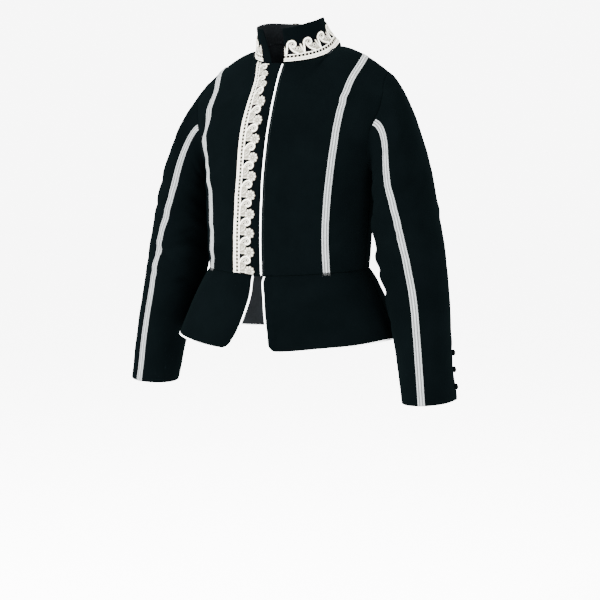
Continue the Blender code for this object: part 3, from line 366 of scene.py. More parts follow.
def skirt(turn, down):
    """turn: degrees from the centre front, by the left, to 180 behind. down: 0 at the waist, 1 at the hem."""
    angle = np.radians(turn)
    s, c = np.sin(angle), np.cos(angle)
    front = c > 0
    aside = away(turn, 0)
    waist = bodice(np.where(front, aside, np.sign(aside) * (180 - np.abs(aside))) / 90, 0.0 * turn, ~front)
    reach = oval(angle, HEM_HALF, np.where(front, HEM_FRONT - HEM_SIDE, HEM_SIDE - HEM_BACK), HEM_ROUND)
    level = FRONT_LEVELS["waist"].z_centre - SKIRT_LENGTH + HEM_SIDE_RISE * s**2
    hem = place(reach * s, HEM_SIDE + reach * c, level)
    flare = (down**HEM_FLARE)[..., None]
    drop = np.asarray(down)[..., None]
    flat = waist + (hem - waist) * flare
    fall = waist + (hem - waist) * drop
    return np.concatenate([flat[..., :2], fall[..., 2:] - GAP], axis=-1)


def skirt_normal(turn, down):
    return -wall_normal(skirt, turn, down, 8)


def skirt_turn_at(out, down):
    """The turn at which the front of the skirt lies that far out."""
    return found(out, 0.0, 60.0, lambda turn: skirt(turn, down))


def skirt_front_edge(down, left):
    """How far out the front edge lies, with its rounded corner."""
    edge = table([e.left if left else e.right for e in SKIRT_EDGE], down * (len(SKIRT_EDGE) - 1))
    corner = CORNER_LEFT if left else CORNER_RIGHT
    into = np.clip((down - 1) * SKIRT_LENGTH + corner, 0, corner)
    return edge + corner - np.sqrt(corner**2 - into**2)


SIDE_TURN_GAP = 0.05      # degrees, half a seam gap at the side
FOLDS = [  # turn, along (0 armhole, 1 cuff), length round, width along, slant, depth
    (120.0, 0.44, 55.0, 0.030, 0.0010, 0.0040),
    (100.0, 0.54, 50.0, 0.026, -0.0008, 0.0035),
    (165.0, 0.35, 50.0, 0.028, 0.0012, 0.0035),
    (60.0, 0.30, 45.0, 0.030, 0.0014, 0.0030),
    (285.0, 0.50, 45.0, 0.030, -0.0010, 0.0025),
    (150.0, 0.66, 45.0, 0.026, 0.0010, 0.0030),
]


def away(turn, at):
    """Degrees from one turn to another, the short way round."""
    return np.mod(turn - at + 180, 360) - 180


def sleeve_fold(turn, along):
    """How far the folds at the elbow draw the sleeve in."""
    depth = 0.0
    for at, centre, length, width, slant, deep in FOLDS:
        off = away(turn, at)
        across = (along - centre - slant * off) / width
        depth = depth + deep * np.exp(-(off / length) ** 2) * ridge(across)
    return depth * smoothstep(along / 0.2) * smoothstep((1 - along) / 0.15)


def ring_point(ring, turn):
    angle = np.radians(turn)
    out = ring.half_width * np.cos(angle)
    return place(ring.out + out, ring.forward + ring.half_depth * np.sin(angle), ring.z + ring.tilt * out)


def share_along(row):
    """The share of a sleeve's length down to that row."""
    return np.where(row < 1, CAP_SHARE * row, CAP_SHARE + (1 - CAP_SHARE) * (row - 1) / (RING_COUNT - 1))


def sleeve(turn, row):
    """A point of the left sleeve. row: 0 at the armhole, 1 at the first ring, RING_COUNT at the cuff."""
    turn, row = floats(turn, row)
    rings = np.stack([ring_point(ring, turn) for ring in SLEEVE_RINGS])
    arm = unit(place(0.17, 0.04, -1.0))
    knots = np.concatenate([[rings[0] - arm * 0.066], rings, [2 * rings[-1] - rings[-2]]])
    start, _, outward = armhole_loop(turn)
    under = smoothstep((0.2 - np.cos(np.radians(turn))) / 1.2)[..., None]
    angle = np.radians(turn)
    aside = place(1.0 + 0 * turn, 0.30 * np.sin(angle), -0.35 - 0.30 * np.cos(angle))
    tip = np.exp(-(away(turn, 0) / SHOULDER_CORNER) ** 2)[..., None]
    pull = CAP_PULL_TOP + (CAP_PULL_UNDER - CAP_PULL_TOP) * under
    outward = unit(outward * (1 - tip) + unit(aside) * tip)
    leave = unit((0.35 + 0.65 * under) * outward + 0.65 * (1 - under) * unit(aside)) * pull
    arrive = (knots[2] - knots[0]) / 2 * (2.2 - 1.3 * under)
    t = np.clip(row, 0, 1)[..., None]
    cap = ((2 * t**3 - 3 * t**2 + 1) * (start + GAP * outward) + (t**3 - 2 * t**2 + t) * leave
           + (3 * t**2 - 2 * t**3) * rings[0] + (t**3 - t**2) * arrive)
    points = np.where(row[..., None] < 1, cap, spline(knots, np.clip(row - 1, 0, RING_COUNT - 1)))
    along = share_along(row)
    flare = CUFF_FLARE * smoothstep((along - 0.90) / 0.10) * np.exp(-(away(turn, CUFF_FLARE_TURN) / 24) ** 2)
    radial = unit(place(np.cos(angle), 0.85 * np.sin(angle), 0.0 * turn))
    return points + radial * (flare - sleeve_fold(turn, along))[..., None]


def sleeve_normal(turn, row):
    turn, row = floats(turn, row)
    around = sleeve(turn + 1, row) - sleeve(turn - 1, row)
    down = sleeve(turn, np.minimum(row + 0.03, RING_COUNT)) - sleeve(turn, np.maximum(row - 0.03, 0))
    normal = unit(np.cross(around, down))
    share = smoothstep(row / 0.15)[..., None]
    return unit(normal * share + armhole_loop(turn)[1] * (1 - share))


def turn_width(turn, row):
    """Metres round the sleeve for each degree of turn."""
    return np.linalg.norm(sleeve(turn + 0.5, row) - sleeve(turn - 0.5, row), axis=-1)


BUTTON_ROWS = [5.76, 5.46, 5.16]
BUTTON_FROM_SEAM = 6.0


# How far out the front lace's sewn edge and its scalloped edge lie, at each level
LACE_EDGE_OUT = [-0.0675, -0.0645, -0.0612, -0.0625, -0.0588, -0.0528, -0.0620]
LACE_TIPS_OUT = [-0.0210, -0.0195, -0.0190, -0.0185, -0.0185, -0.0225, -0.0285]
FRONT_LACE_REPEATS, COLLAR_LACE_REPEATS = 13, 12
COLLAR_LACE_LIFT = 0.00049
COLLAR_LACE_HEIGHT = 0.93      # its height against that of the front lace
COLLAR_LACE_START = 1.0        # degrees from the left end of the collar to its start
COLLAR_LACE_SHORT = 15.0       # and from its end to the right end of the collar


def length_table(fn, stop):
    """Evenly spaced parameter values and the length along the curve up to each."""
    t = np.linspace(0, stop, 241)
    return t, np.concatenate([[0], np.cumsum(np.linalg.norm(np.diff(fn(t), axis=0), axis=1))])


# ---- creases and other unevenness of the cloth ---------------------------------------------------

# Creases of the bodice: from (out, up) to (out, up), how wide, and how far they stand out (or lie in)
Crease = namedtuple("Crease", "out0 up0 out1 up1 width height")
FRONT_CREASES = [
    Crease(-0.176, -0.205, -0.120, -0.150, 0.0085, 0.0019),      # from the right armhole up to the chest
    Crease(-0.172, -0.228, -0.112, -0.196, 0.0080, -0.0014),
    Crease(-0.160, -0.262, -0.095, -0.252, 0.0100, 0.0015),
    Crease(-0.166, -0.165, -0.128, -0.118, 0.0080, -0.0014),
    Crease(0.178, -0.214, 0.128, -0.162, 0.0085, 0.0017),        # and from the left one
    Crease(0.168, -0.244, 0.110, -0.222, 0.0095, -0.0014),
    Crease(0.158, -0.276, 0.100, -0.284, 0.0110, 0.0012),
    Crease(0.140, -0.070, 0.165, -0.135, 0.0100, 0.0010),
    Crease(-0.138, -0.066, -0.168, -0.128, 0.0100, 0.0012),
    Crease(0.150, -0.372, 0.070, -0.398, 0.0090, 0.0015),        # drawn in at the waist
    Crease(0.146, -0.352, 0.092, -0.362, 0.0080, -0.0011),
    Crease(-0.152, -0.378, -0.082, -0.402, 0.0090, 0.0014),
    Crease(-0.148, -0.346, -0.086, -0.366, 0.0085, -0.0012),
    Crease(0.030, -0.300, 0.075, -0.345, 0.0140, 0.0009),
    Crease(-0.080, -0.290, -0.105, -0.340, 0.0130, 0.0008),
]
BACK_CREASES = [
    Crease(-0.178, -0.198, -0.112, -0.150, 0.0100, 0.0022),      # from the armholes to the shoulder blades
    Crease(-0.172, -0.226, -0.098, -0.206, 0.0090, -0.0017),
    Crease(-0.164, -0.256, -0.090, -0.262, 0.0100, 0.0018),
    Crease(0.180, -0.192, 0.120, -0.138, 0.0095, 0.0021),
    Crease(0.174, -0.220, 0.104, -0.192, 0.0090, -0.0016),
    Crease(0.162, -0.262, 0.086, -0.276, 0.0110, 0.0017),
    Crease(0.020, -0.330, 0.120, -0.352, 0.0105, 0.0020),        # cross folds in the small of the back
    Crease(-0.110, -0.345, 0.010, -0.358, 0.0100, 0.0023),
    Crease(-0.130, -0.376, -0.020, -0.384, 0.0085, -0.0018),
    Crease(0.010, -0.374, 0.126, -0.388, 0.0090, 0.0019),
    Crease(-0.060, -0.312, 0.030, -0.322, 0.0090, -0.0013),
    Crease(-0.070, -0.020, -0.100, -0.110, 0.0130, 0.0012),
    Crease(0.078, -0.024, 0.092, -0.104, 0.0120, 0.0011),
    Crease(0.000, -0.050, 0.006, -0.150, 0.0150, -0.0009),
]
# Waves of the skirt: degrees from the centre front, how wide and how far they stand out at the hem
FLUTES = [
    (22, 9, -0.0015), (41, 10, 0.0030), (60, 8, -0.0026), (78, 10, 0.0032), (99, 11, -0.0030),
    (121, 10, 0.0042), (143, 11, -0.0036), (166, 12, 0.0044), (188, 9, -0.0030), (209, 11, 0.0040),
    (233, 12, -0.0036), (256, 9, 0.0030), (279, 10, -0.0028), (301, 10, 0.0030), (322, 9, -0.0022),
    (340, 8, 0.0014),
]
# Finer folds of each sleeve, in the rows of FOLDS
SLEEVE_FOLDS = {
    "left": [
        (172, 0.44, 46, 0.150, 0.0, 0.0046), (148, 0.37, 34, 0.016, 0.0016, -0.0021),
        (132, 0.49, 36, 0.014, 0.0007, -0.0024), (95, 0.45, 30, 0.013, -0.0015, -0.0015),
        (170, 0.57, 34, 0.015, -0.0006, -0.0020), (112, 0.62, 30, 0.013, 0.0011, -0.0016),
        (75, 0.74, 32, 0.014, 0.0012, -0.0011), (205, 0.42, 30, 0.015, 0.0013, -0.0020),
        (250, 0.55, 36, 0.017, -0.0014, -0.0017), (320, 0.40, 40, 0.018, 0.0009, -0.0011),
        (20, 0.46, 36, 0.016, -0.0008, -0.0009), (185, 0.80, 34, 0.014, 0.0010, -0.0014),
        (60, 0.17, 26, 0.016, 0.0022, -0.0012), (140, 0.22, 26, 0.013, 0.0017, -0.0020),
        (200, 0.25, 28, 0.013, -0.0019, -0.0019), (290, 0.20, 26, 0.016, -0.0018, -0.0014),
        (340, 0.87, 30, 0.015, 0.0010, -0.0010),
    ],
    "right": [
        (155, 0.40, 36, 0.016, 0.0014, -0.0023), (120, 0.47, 34, 0.013, -0.0009, -0.0019),
        (98, 0.56, 34, 0.014, 0.0012, -0.0021), (168, 0.51, 30, 0.014, 0.0010, -0.0018),
        (135, 0.66, 32, 0.014, -0.0008, -0.0016), (70, 0.63, 30, 0.013, 0.0010, -0.0010),
        (210, 0.46, 34, 0.015, -0.0012, -0.0019), (262, 0.48, 34, 0.017, 0.0013, -0.0019),
        (310, 0.58, 40, 0.018, -0.0010, -0.0012), (28, 0.36, 34, 0.016, 0.0010, -0.0010),
        (192, 0.74, 36, 0.014, -0.0010, -0.0013), (52, 0.15, 26, 0.016, 0.0020, -0.0014),
        (146, 0.19, 24, 0.013, 0.0015, -0.0019), (205, 0.22, 28, 0.013, -0.0017, -0.0020),
        (285, 0.24, 28, 0.016, -0.0020, -0.0013), (350, 0.82, 30, 0.015, -0.0011, -0.0009),
    ],
}


EASE_HEIGHT = 0.00021


def sizes():
    return bpy.context.scene.doublet_sizes


def colours():
    return bpy.context.scene.doublet_colours


def ease(points):
    """The faint unevenness that any worn cloth has, from a few long waves."""
    x, y, z = points[..., 0], points[..., 1], points[..., 2]
    wave = (np.sin(61 * x + 23 * z + 17 * y + 1.3) + 0.8 * np.sin(97 * z - 44 * x + 0.4)
            + 0.7 * np.sin(83 * y + 58 * z - 29 * x + 2.1) + 0.45 * np.sin(171 * x - 128 * z + 0.9)
            + 0.35 * np.sin(213 * z + 140 * y + 88 * x + 2.7))
    return EASE_HEIGHT * wave


def crease_height(points, creases):
    total = np.zeros(points.shape[:-1])
    for crease in creases:
        start, stop = np.array([crease.out0, crease.up0]), np.array([crease.out1, crease.up1])
        line = stop - start
        length = np.linalg.norm(line)
        line /= length
        off = points[..., [0, 2]] - start
        along = (off @ line) / length
        bow = 0.10 * length * np.sin(math.pi * np.clip(along, 0, 1))
        across = (off[..., 0] * -line[1] + off[..., 1] * line[0] - bow) / crease.width
        fade = np.exp(-(np.abs(along - 0.45) / 0.52) ** 2.6)
        total += crease.height * fade * ridge(across, 0.45, 1.9, 0.9)
    return total


def raised(points, normals, height):
    return points + normals * (height * sizes().crease_strength)[..., None], normals


def flip(points):
    return points * np.array([-1.0, 1.0, 1.0])


def body_at(share, level, back=False, right=False, lap=False):
    """The bodice's outside with its creases, and its normals."""
    share, level = floats(share, level)
    points, normals = bodice(share, level, back), bodice_normal(share, level, back)
    flat = unit(normals * np.array([1.0, 1.0, 0.0]))
    low = np.clip(level / 0.12, 0, 1)[..., None]                 # the waist seam is cut level
    normals = unit(normals * low + flat * (1 - low))
    if lap:
        points = points - normals * lap_depth(-points[..., 0], level)[..., None]
    if right:
        points, normals = flip(points), flip(normals)
    height = crease_height(points, BACK_CREASES if back else FRONT_CREASES) + ease(points)
    ends = smoothstep(level / 0.10) * smoothstep((TOP - level) / 0.25)
    return raised(points, normals, height * ends)


def collar_at(turn, height):
    turn, height = floats(turn, height)
    points, normals = collar(turn, height), collar_normal(turn, height)
    wave = 0.0007 * np.sin(np.radians(turn) * 5 + 0.7) + 0.0005 * np.sin(np.radians(turn) * 9 + 2.0)
    return raised(points, normals, (wave + ease(points)) * smoothstep(height / 0.35))


def skirt_at(turn, down, right=False):
    turn, down = floats(turn, down)
    points, normals = skirt(turn, down), skirt_normal(turn, down)
    if right:
        points, normals = flip(points), flip(normals)
        turn = 360 - turn
    height = ease(points)
    for at, width, high in FLUTES:
        height = height + high * np.exp(-(away(turn, at) / width) ** 2) * down**1.3
    return raised(points, normals, height * smoothstep(down / 0.12))


def sleeve_at(turn, row, side):
    turn, row = floats(turn, row)
    points, normals = sleeve(turn, row), sleeve_normal(turn, row)
    if side == "right":
        points, normals = flip(points), flip(normals)
    along = share_along(row)
    height = ease(points) * smoothstep(row / 0.3)
    for at, centre, length, width, slant, deep in SLEEVE_FOLDS[side]:
        off = away(turn, at)
        across = (along - centre - slant * off) / width
        height = height + deep * np.exp(-(np.abs(off) / length) ** 2.4) * ridge(across, 0.5, 1.8, 0.9)
    angle = np.radians(turn)
    gathers = 0.0006 * np.sin(angle * 34 + 1.5 * np.sin(angle * 3)) * np.exp(-((row - 0.06) / 0.06) ** 2)
    over = 0.5 + 0.5 * np.cos(np.radians(away(turn, 0)))     # eased in over the shoulder, flat under the arm
    height = height * smoothstep((along - 0.04) / 0.08) + gathers * over * smoothstep(row / 0.02)
    return raised(points, normals, height)


# ---- meshes --------------------------------------------------------------------------------------

def placed(name, data):
    """A new object in the scene."""
    made = bpy.data.objects.new(name, data)
    bpy.context.scene.collection.objects.link(made)
    return made


def vertex_of_corners(mesh):
    corners = np.empty(len(mesh.loops), np.int32)
    mesh.loops.foreach_get("vertex_index", corners)
    return corners


def made_object(name, points, faces, materials, uv=None, faces_material=None):
    mesh = bpy.data.meshes.new(name)
    faces = faces.tolist() if isinstance(faces, np.ndarray) else faces
    mesh.from_pydata(np.asarray(points).tolist(), [], faces)
    for one in materials:
        mesh.materials.append(one)
    if faces_material is not None:
        mesh.polygons.foreach_set("material_index", np.asarray(faces_material, np.int32))
    if uv is not None:
        layer = mesh.uv_layers.new(name="UVMap")
        layer.data.foreach_set("uv", np.asarray(uv, np.float32)[vertex_of_corners(mesh)].ravel())
    mesh.shade_smooth()
    mesh.update()
    return placed(name, mesh)


def run_lengths(points, axis):
    """Lengths along rows (axis 1) or columns (axis 0), from the first point, and whole lengths."""
    run = np.cumsum(np.linalg.norm(np.diff(points, axis=axis), axis=-1), axis=axis)
    run = np.concatenate([0 * np.take(run, [0], axis=axis), run], axis=axis)
    return run, np.take(run, [-1], axis=axis)


def edge_distance(points):
    """Distance from each point of a grid to the nearest edge of the piece, and its place in metres."""
    u, width = run_lengths(points, 1)
    v, length = run_lengths(points, 0)
    return np.minimum(np.minimum(u, width - u), np.minimum(v, length - v)), u, v


def shell(name, outer, inner, uv, materials):
    """A closed wall between two grids of points, the first facing out."""
    rows, columns = outer.shape[:2]
    index = np.arange(rows * columns).reshape(rows, columns)
    a, b, c, d = index[:-1, :-1], index[:-1, 1:], index[1:, 1:], index[1:, :-1]
    front = np.stack([a, b, c, d], axis=-1).reshape(-1, 4)
    count = rows * columns
    ring = np.concatenate([index[0, :-1], index[:-1, -1], index[-1, :0:-1], index[:0:-1, 0]])
    after = np.roll(ring, -1)
    rim = np.stack([after, ring, ring + count, after + count], axis=-1)
    faces = np.concatenate([front, front[:, ::-1] + count, rim])
    middle = (rows // 2, columns // 2)
    across = outer[middle[0], middle[1] + 1] - outer[middle]
    down = outer[middle[0] + 1, middle[1]] - outer[middle]
    if np.dot(np.cross(across, down), outer[middle] - inner[middle]) < 0:
        faces = faces[:, ::-1]
    which = np.zeros(len(faces), int)
    if len(materials) > 1:
        which[len(front):2 * len(front)] = 1
    return made_object(name, np.concatenate([outer.reshape(-1, 3), inner.reshape(-1, 3)]), faces, materials,
                       np.concatenate([uv, uv]).reshape(-1, 2), which)


def close_seams(skin, free, by):
    """Lets a skin run on at its seams, so that no light comes through. free: the edges that aren't sewn."""
    edges = (("first row", skin[0], skin[1]), ("last row", skin[-1], skin[-2]),
             ("first column", skin[:, 0], skin[:, 1]), ("last column", skin[:, -1], skin[:, -2]))
    for name, edge, beside in edges:
        if name not in free:
            edge += unit(edge - beside) * by


CLOTH_CUT = {}           # each panel's flat width, length and area
SEAM_TUCK = 0.0015       # how far the lining runs on past a seam
COLLAR_TUCK = 0.0040


def panel(name, points, normals, free=(), tuck=SEAM_TUCK):
    """One piece of cloth: velvet outside, lining inside, its edges rolled towards each other."""
    wall, roll = sizes().cloth_thickness, sizes().edge_roll
    distance, u, v = edge_distance(points)
    near = 1 - np.clip(distance / roll, 0, 1)
    bend = 1 - np.sqrt(np.maximum(1 - near**2, 0))
    outer = points - normals * (0.50 * wall * bend)[..., None]
    inner = points - normals * (wall * (1 - 0.15 * bend))[..., None]
    close_seams(inner, free, tuck)
    close_seams(outer, free, GAP / 2)
    made = shell(name, outer, inner, np.stack([u, v], axis=-1), [velvet(), lining()])
    down, across = points[1:, :-1] - points[:-1, :-1], points[:-1, 1:] - points[:-1, :-1]
    area = np.linalg.norm(np.cross(down, across), axis=-1).sum()
    width, length = (u.max(axis=1) - u.min(axis=1)).max(), (v.max(axis=0) - v.min(axis=0)).max()
    CLOTH_CUT[name] = (float(width), float(length), float(area))
    return made


EDGE_STEPS = np.array([0.0, 0.0004, 0.0010, 0.0017, 0.0026])


def near_edges(count, length, first=True, last=True):
    """Shares 0 to 1, evenly spaced with a few closer together at the edges that roll."""
    even = np.linspace(0, 1, count + 1)
    close = EDGE_STEPS / length
    clear = close[-1] * 1.4
    inside = (even > (clear if first else -1)) & (even < (1 - clear if last else 2))
    return np.unique(np.concatenate([close if first else [0.0], even[inside], 1 - close if last else [1.0]]))


def finish_piece(piece, slot, *nodes):
    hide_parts(*nodes)
    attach(piece, "root")
    return piece


# ---- geometry nodes ------------------------------------------------------------------------------

def new_tree(name, inputs):
    """A node tree with a Geometry input, the named inputs and a Geometry output."""
    tree = bpy.data.node_groups.new(name, "GeometryNodeTree")
    tree.interface.new_socket("Geometry", in_out="INPUT", socket_type="NodeSocketGeometry")
    for label, kind, default in inputs:
        socket = tree.interface.new_socket(label, in_out="INPUT", socket_type=kind)
        if default is not None:
            socket.default_value = default
    tree.interface.new_socket("Geometry", in_out="OUTPUT", socket_type="NodeSocketGeometry")
    return tree, tree.nodes.new("NodeGroupInput"), tree.nodes.new("NodeGroupOutput")


def add(tree, kind, links, **settings):
    """A new node. links gives the node and output that each of its inputs comes from."""
    made = tree.nodes.new(kind)
    for key, value in settings.items():
        setattr(made, key, value)
    for socket, (start, output) in links.items():
        tree.links.new(start.outputs[output], made.inputs[socket])
    return made


def finish_tree(tree, source, result, last):
    """Ends a tree: gives the material to what the last node makes."""
    links = {"Geometry": (last, "Geometry"), "Material": (source, "Material")}
    colour = add(tree, "GeometryNodeSetMaterial", links)
    tree.links.new(colour.outputs["Geometry"], result.inputs["Geometry"])
    return tree


def run_tree(host, tree, values):
    """Evaluates the tree on the host object and returns the result as a plain mesh."""
    modifier = host.modifiers.new(tree.name, "NODES")
    modifier.node_group = tree
    for item in tree.interface.items_tree:
        if item.item_type == "SOCKET" and item.in_out == "INPUT" and item.name in values:
            modifier[item.identifier] = values[item.name]
    bpy.context.view_layer.update()
    graph = bpy.context.evaluated_depsgraph_get()
    made = host.evaluated_get(graph)
    mesh = bpy.data.meshes.new_from_object(made, preserve_all_data_layers=True, depsgraph=graph)
    host.modifiers.remove(modifier)
    return mesh


def repeat_tree():
    """Sets one length of a pattern end to end and joins the lengths."""
    tree, source, result = new_tree("Repeat Along", [
        ("Repeats", "NodeSocketInt", 12), ("Pitch", "NodeSocketFloat", 0.036),
        ("Length", "NodeSocketObject", None), ("Material", "NodeSocketMaterial", None)])
    offset = add(tree, "ShaderNodeCombineXYZ", {"X": (source, "Pitch")})
    line = add(tree, "GeometryNodeMeshLine", {"Count": (source, "Repeats"), "Offset": (offset, "Vector")})
    part = add(tree, "GeometryNodeObjectInfo", {"Object": (source, "Length")})
    links = {"Points": (line, "Mesh"), "Instance": (part, "Geometry")}
    lay = add(tree, "GeometryNodeInstanceOnPoints", links)
    real = add(tree, "GeometryNodeRealizeInstances", {"Geometry": (lay, "Instances")})
    merge = add(tree, "GeometryNodeMergeByDistance", {"Geometry": (real, "Geometry")})
    merge.inputs["Distance"].default_value = 2e-5
    return finish_tree(tree, source, result, merge)


def stitch_tree():
    """Lays stitches along the host's edges, turned along the seam, and facing the way of the attribute out."""
    tree, source, result = new_tree("Stitches Along Seams", [
        ("Spacing", "NodeSocketFloat", 0.003), ("Stitch", "NodeSocketObject", None),
        ("Scale", "NodeSocketFloat", 1.0), ("Unevenness", "NodeSocketFloat", 0.12),
        ("Seed", "NodeSocketInt", 7), ("Material", "NodeSocketMaterial", None)])
    curve = add(tree, "GeometryNodeMeshToCurve", {"Mesh": (source, "Geometry")})
    even = add(tree, "GeometryNodeResampleCurve", {"Curve": (curve, "Curve"), "Length": (source, "Spacing")},
               mode="LENGTH")
    tangent = add(tree, "GeometryNodeInputTangent", {})
    out = add(tree, "GeometryNodeInputNamedAttribute", {}, data_type="FLOAT_VECTOR")
    out.inputs["Name"].default_value = "out"
    align = "FunctionNodeAlignRotationToVector"
    along = add(tree, align, {"Vector": (tangent, "Tangent")}, axis="X")
    facing = add(tree, align, {"Rotation": (along, "Rotation"), "Vector": (out, "Attribute")},
                 axis="Z", pivot_axis="X")
    part = add(tree, "GeometryNodeObjectInfo", {"Object": (source, "Stitch")})
    low = add(tree, "ShaderNodeMath", {1: (source, "Unevenness")}, operation="SUBTRACT")
    high = add(tree, "ShaderNodeMath", {1: (source, "Unevenness")}, operation="ADD")
    low.inputs[0].default_value = high.inputs[0].default_value = 1.0
    links = {2: (low, "Value"), 3: (high, "Value"), "Seed": (source, "Seed")}
    uneven = add(tree, "FunctionNodeRandomValue", links, data_type="FLOAT")
    size = add(tree, "ShaderNodeMath", {0: (uneven, 1), 1: (source, "Scale")}, operation="MULTIPLY")
    lay = add(tree, "GeometryNodeInstanceOnPoints", {
        "Points": (even, "Curve"), "Instance": (part, "Geometry"), "Rotation": (facing, "Rotation"),
        "Scale": (size, "Value")})
    real = add(tree, "GeometryNodeRealizeInstances", {"Geometry": (lay, "Instances")})
    return finish_tree(tree, source, result, real)


# ---- materials -----------------------------------------------------------------------------------

class Finish:
    """Builds a material's nodes with few words."""

    def __init__(self, name):
        self.material = bpy.data.materials.new(name)
        self.material.use_nodes = True
        self.tree = self.material.node_tree
        self.shader = self.tree.nodes["Principled BSDF"]

    def node(self, kind, **settings):
        made = self.tree.nodes.new(kind)
        for key, value in settings.items():
            setattr(made, key, value)
        return made

    def put(self, node, **values):
        for key, value in values.items():
            node.inputs[key.replace("_", " ")].default_value = value
        return node

    def link(self, start, stop):
        self.tree.links.new(start, stop)

    def place(self, output, scale=(1, 1, 1), turn=0.0):
        spot = self.node("ShaderNodeTexCoord")
        mapping = self.node("ShaderNodeMapping")
        mapping.inputs["Scale"].default_value = scale
        mapping.inputs["Rotation"].default_value = (0, 0, turn)
        self.link(spot.outputs[output], mapping.inputs["Vector"])
        return mapping.outputs["Vector"]

    def noise(self, vector, scale, detail=2.0, rough=0.5):
        made = self.put(self.node("ShaderNodeTexNoise"), Scale=scale, Detail=detail, Roughness=rough)
        self.link(vector, made.inputs["Vector"])
        return made.outputs["Fac"]

    def wave(self, vector, scale, distortion=0.0, direction="X", kind="SIN"):
        made = self.node("ShaderNodeTexWave", wave_type="BANDS", bands_direction=direction, wave_profile=kind)
        self.put(made, Scale=scale, Distortion=distortion, Detail=1.0)
        self.link(vector, made.inputs["Vector"])
        return made.outputs["Fac"]

    def ramp(self, factor, low, high, start=0.3, stop=0.7):
        made = self.node("ShaderNodeValToRGB")
        first, last = made.color_ramp.elements
        first.position, last.position = start, stop
        first.color, last.color = (*low, 1.0), (*high, 1.0)
        self.link(factor, made.inputs["Fac"])
        return made.outputs["Color"]

    def math(self, operation, first, second):
        made = self.node("ShaderNodeMath", operation=operation)
        for socket, value in zip(made.inputs, (first, second)):
            if isinstance(value, (int, float)):
                socket.default_value = value
            else:
                self.link(value, socket)
        return made.outputs["Value"]

    def mix(self, factor, first, second, blend="MIX"):
        made = self.node("ShaderNodeMix", data_type="RGBA", blend_type=blend)
        for socket, value in ((made.inputs[0], factor), (made.inputs[6], first), (made.inputs[7], second)):
            if isinstance(value, (int, float)):
                socket.default_value = value
            elif isinstance(value, tuple):
                socket.default_value = (*value, 1.0)
            else:
                self.link(value, socket)
        return made.outputs[2]

    def bump(self, height, strength, distance, under=None):
        made = self.put(self.node("ShaderNodeBump"), Strength=strength, Distance=distance)
        self.link(height, made.inputs["Height"])
        if under is not None:
            self.link(under, made.inputs["Normal"])
        return made.outputs["Normal"]

    def done(self, colour, normal, rough, **constants):
        self.link(colour, self.shader.inputs["Base Color"])
        if normal is not None:
            self.link(normal, self.shader.inputs["Normal"])
        if isinstance(rough, float):
            self.shader.inputs["Roughness"].default_value = rough
        else:
            self.link(rough, self.shader.inputs["Roughness"])
        self.put(self.shader, **constants)
        return self.material


FINISHES = {}


def kept(make):
    """Each material is made once."""
    def give():
        if make.__name__ not in FINISHES:
            FINISHES[make.__name__] = make()
        return FINISHES[make.__name__]
    return give


def scaled(colour, by):
    return tuple(min(1.0, c * by) for c in colour)


@kept
def velvet():
    """Cotton velvet: a short, dense pile that drinks the light, brushed a little unevenly."""
    f = Finish("black_velvet")
    base = tuple(colours().velvet)
    where = f.place("Object")
    brushed = f.noise(where, 14.0, 3.0, 0.6)
    pile = f.noise(where, 950.0, 2.0, 0.7)
    streak = f.noise(f.place("Object", (300, 300, 45)), 1.0, 2.0, 0.6)
    colour = f.ramp(brushed, scaled(base, 0.82), scaled(base, 1.22), 0.35, 0.68)
    colour = f.mix(f.math("MULTIPLY", pile, 0.45), colour, scaled(base, 1.6))
    colour = f.mix(f.math("MULTIPLY", streak, 0.25), colour, scaled(base, 0.6))
    height = f.math("ADD", f.math("MULTIPLY", pile, 0.7), f.math("MULTIPLY", streak, 0.5))
    normal = f.bump(height, 0.30, 0.0004)
    return f.done(colour, normal, 0.9, Specular_IOR_Level=0.0, Sheen_Weight=0.0022, Sheen_Roughness=0.5,
                  Sheen_Tint=(0.5, 0.85, 0.9, 1.0))


@kept
def lining():
    """A dark twill lining."""
    f = Finish("dark_lining")
    twill = f.wave(f.place("UV", (1, 1, 1), 0.8), 420.0, 0.6)
    colour = f.ramp(f.noise(f.place("Object"), 30.0, 2.0), (0.0016, 0.0020, 0.0023), (0.0028, 0.0034, 0.0040))
    colour = f.mix(f.math("MULTIPLY", twill, 0.35), colour, (0.0050, 0.0058, 0.0065))
    return f.done(colour, f.bump(twill, 0.25, 0.0002), 0.8, Specular_IOR_Level=0.02)


BRAID_GROOVE = 0.41          # how far out the grooves lie, in half widths


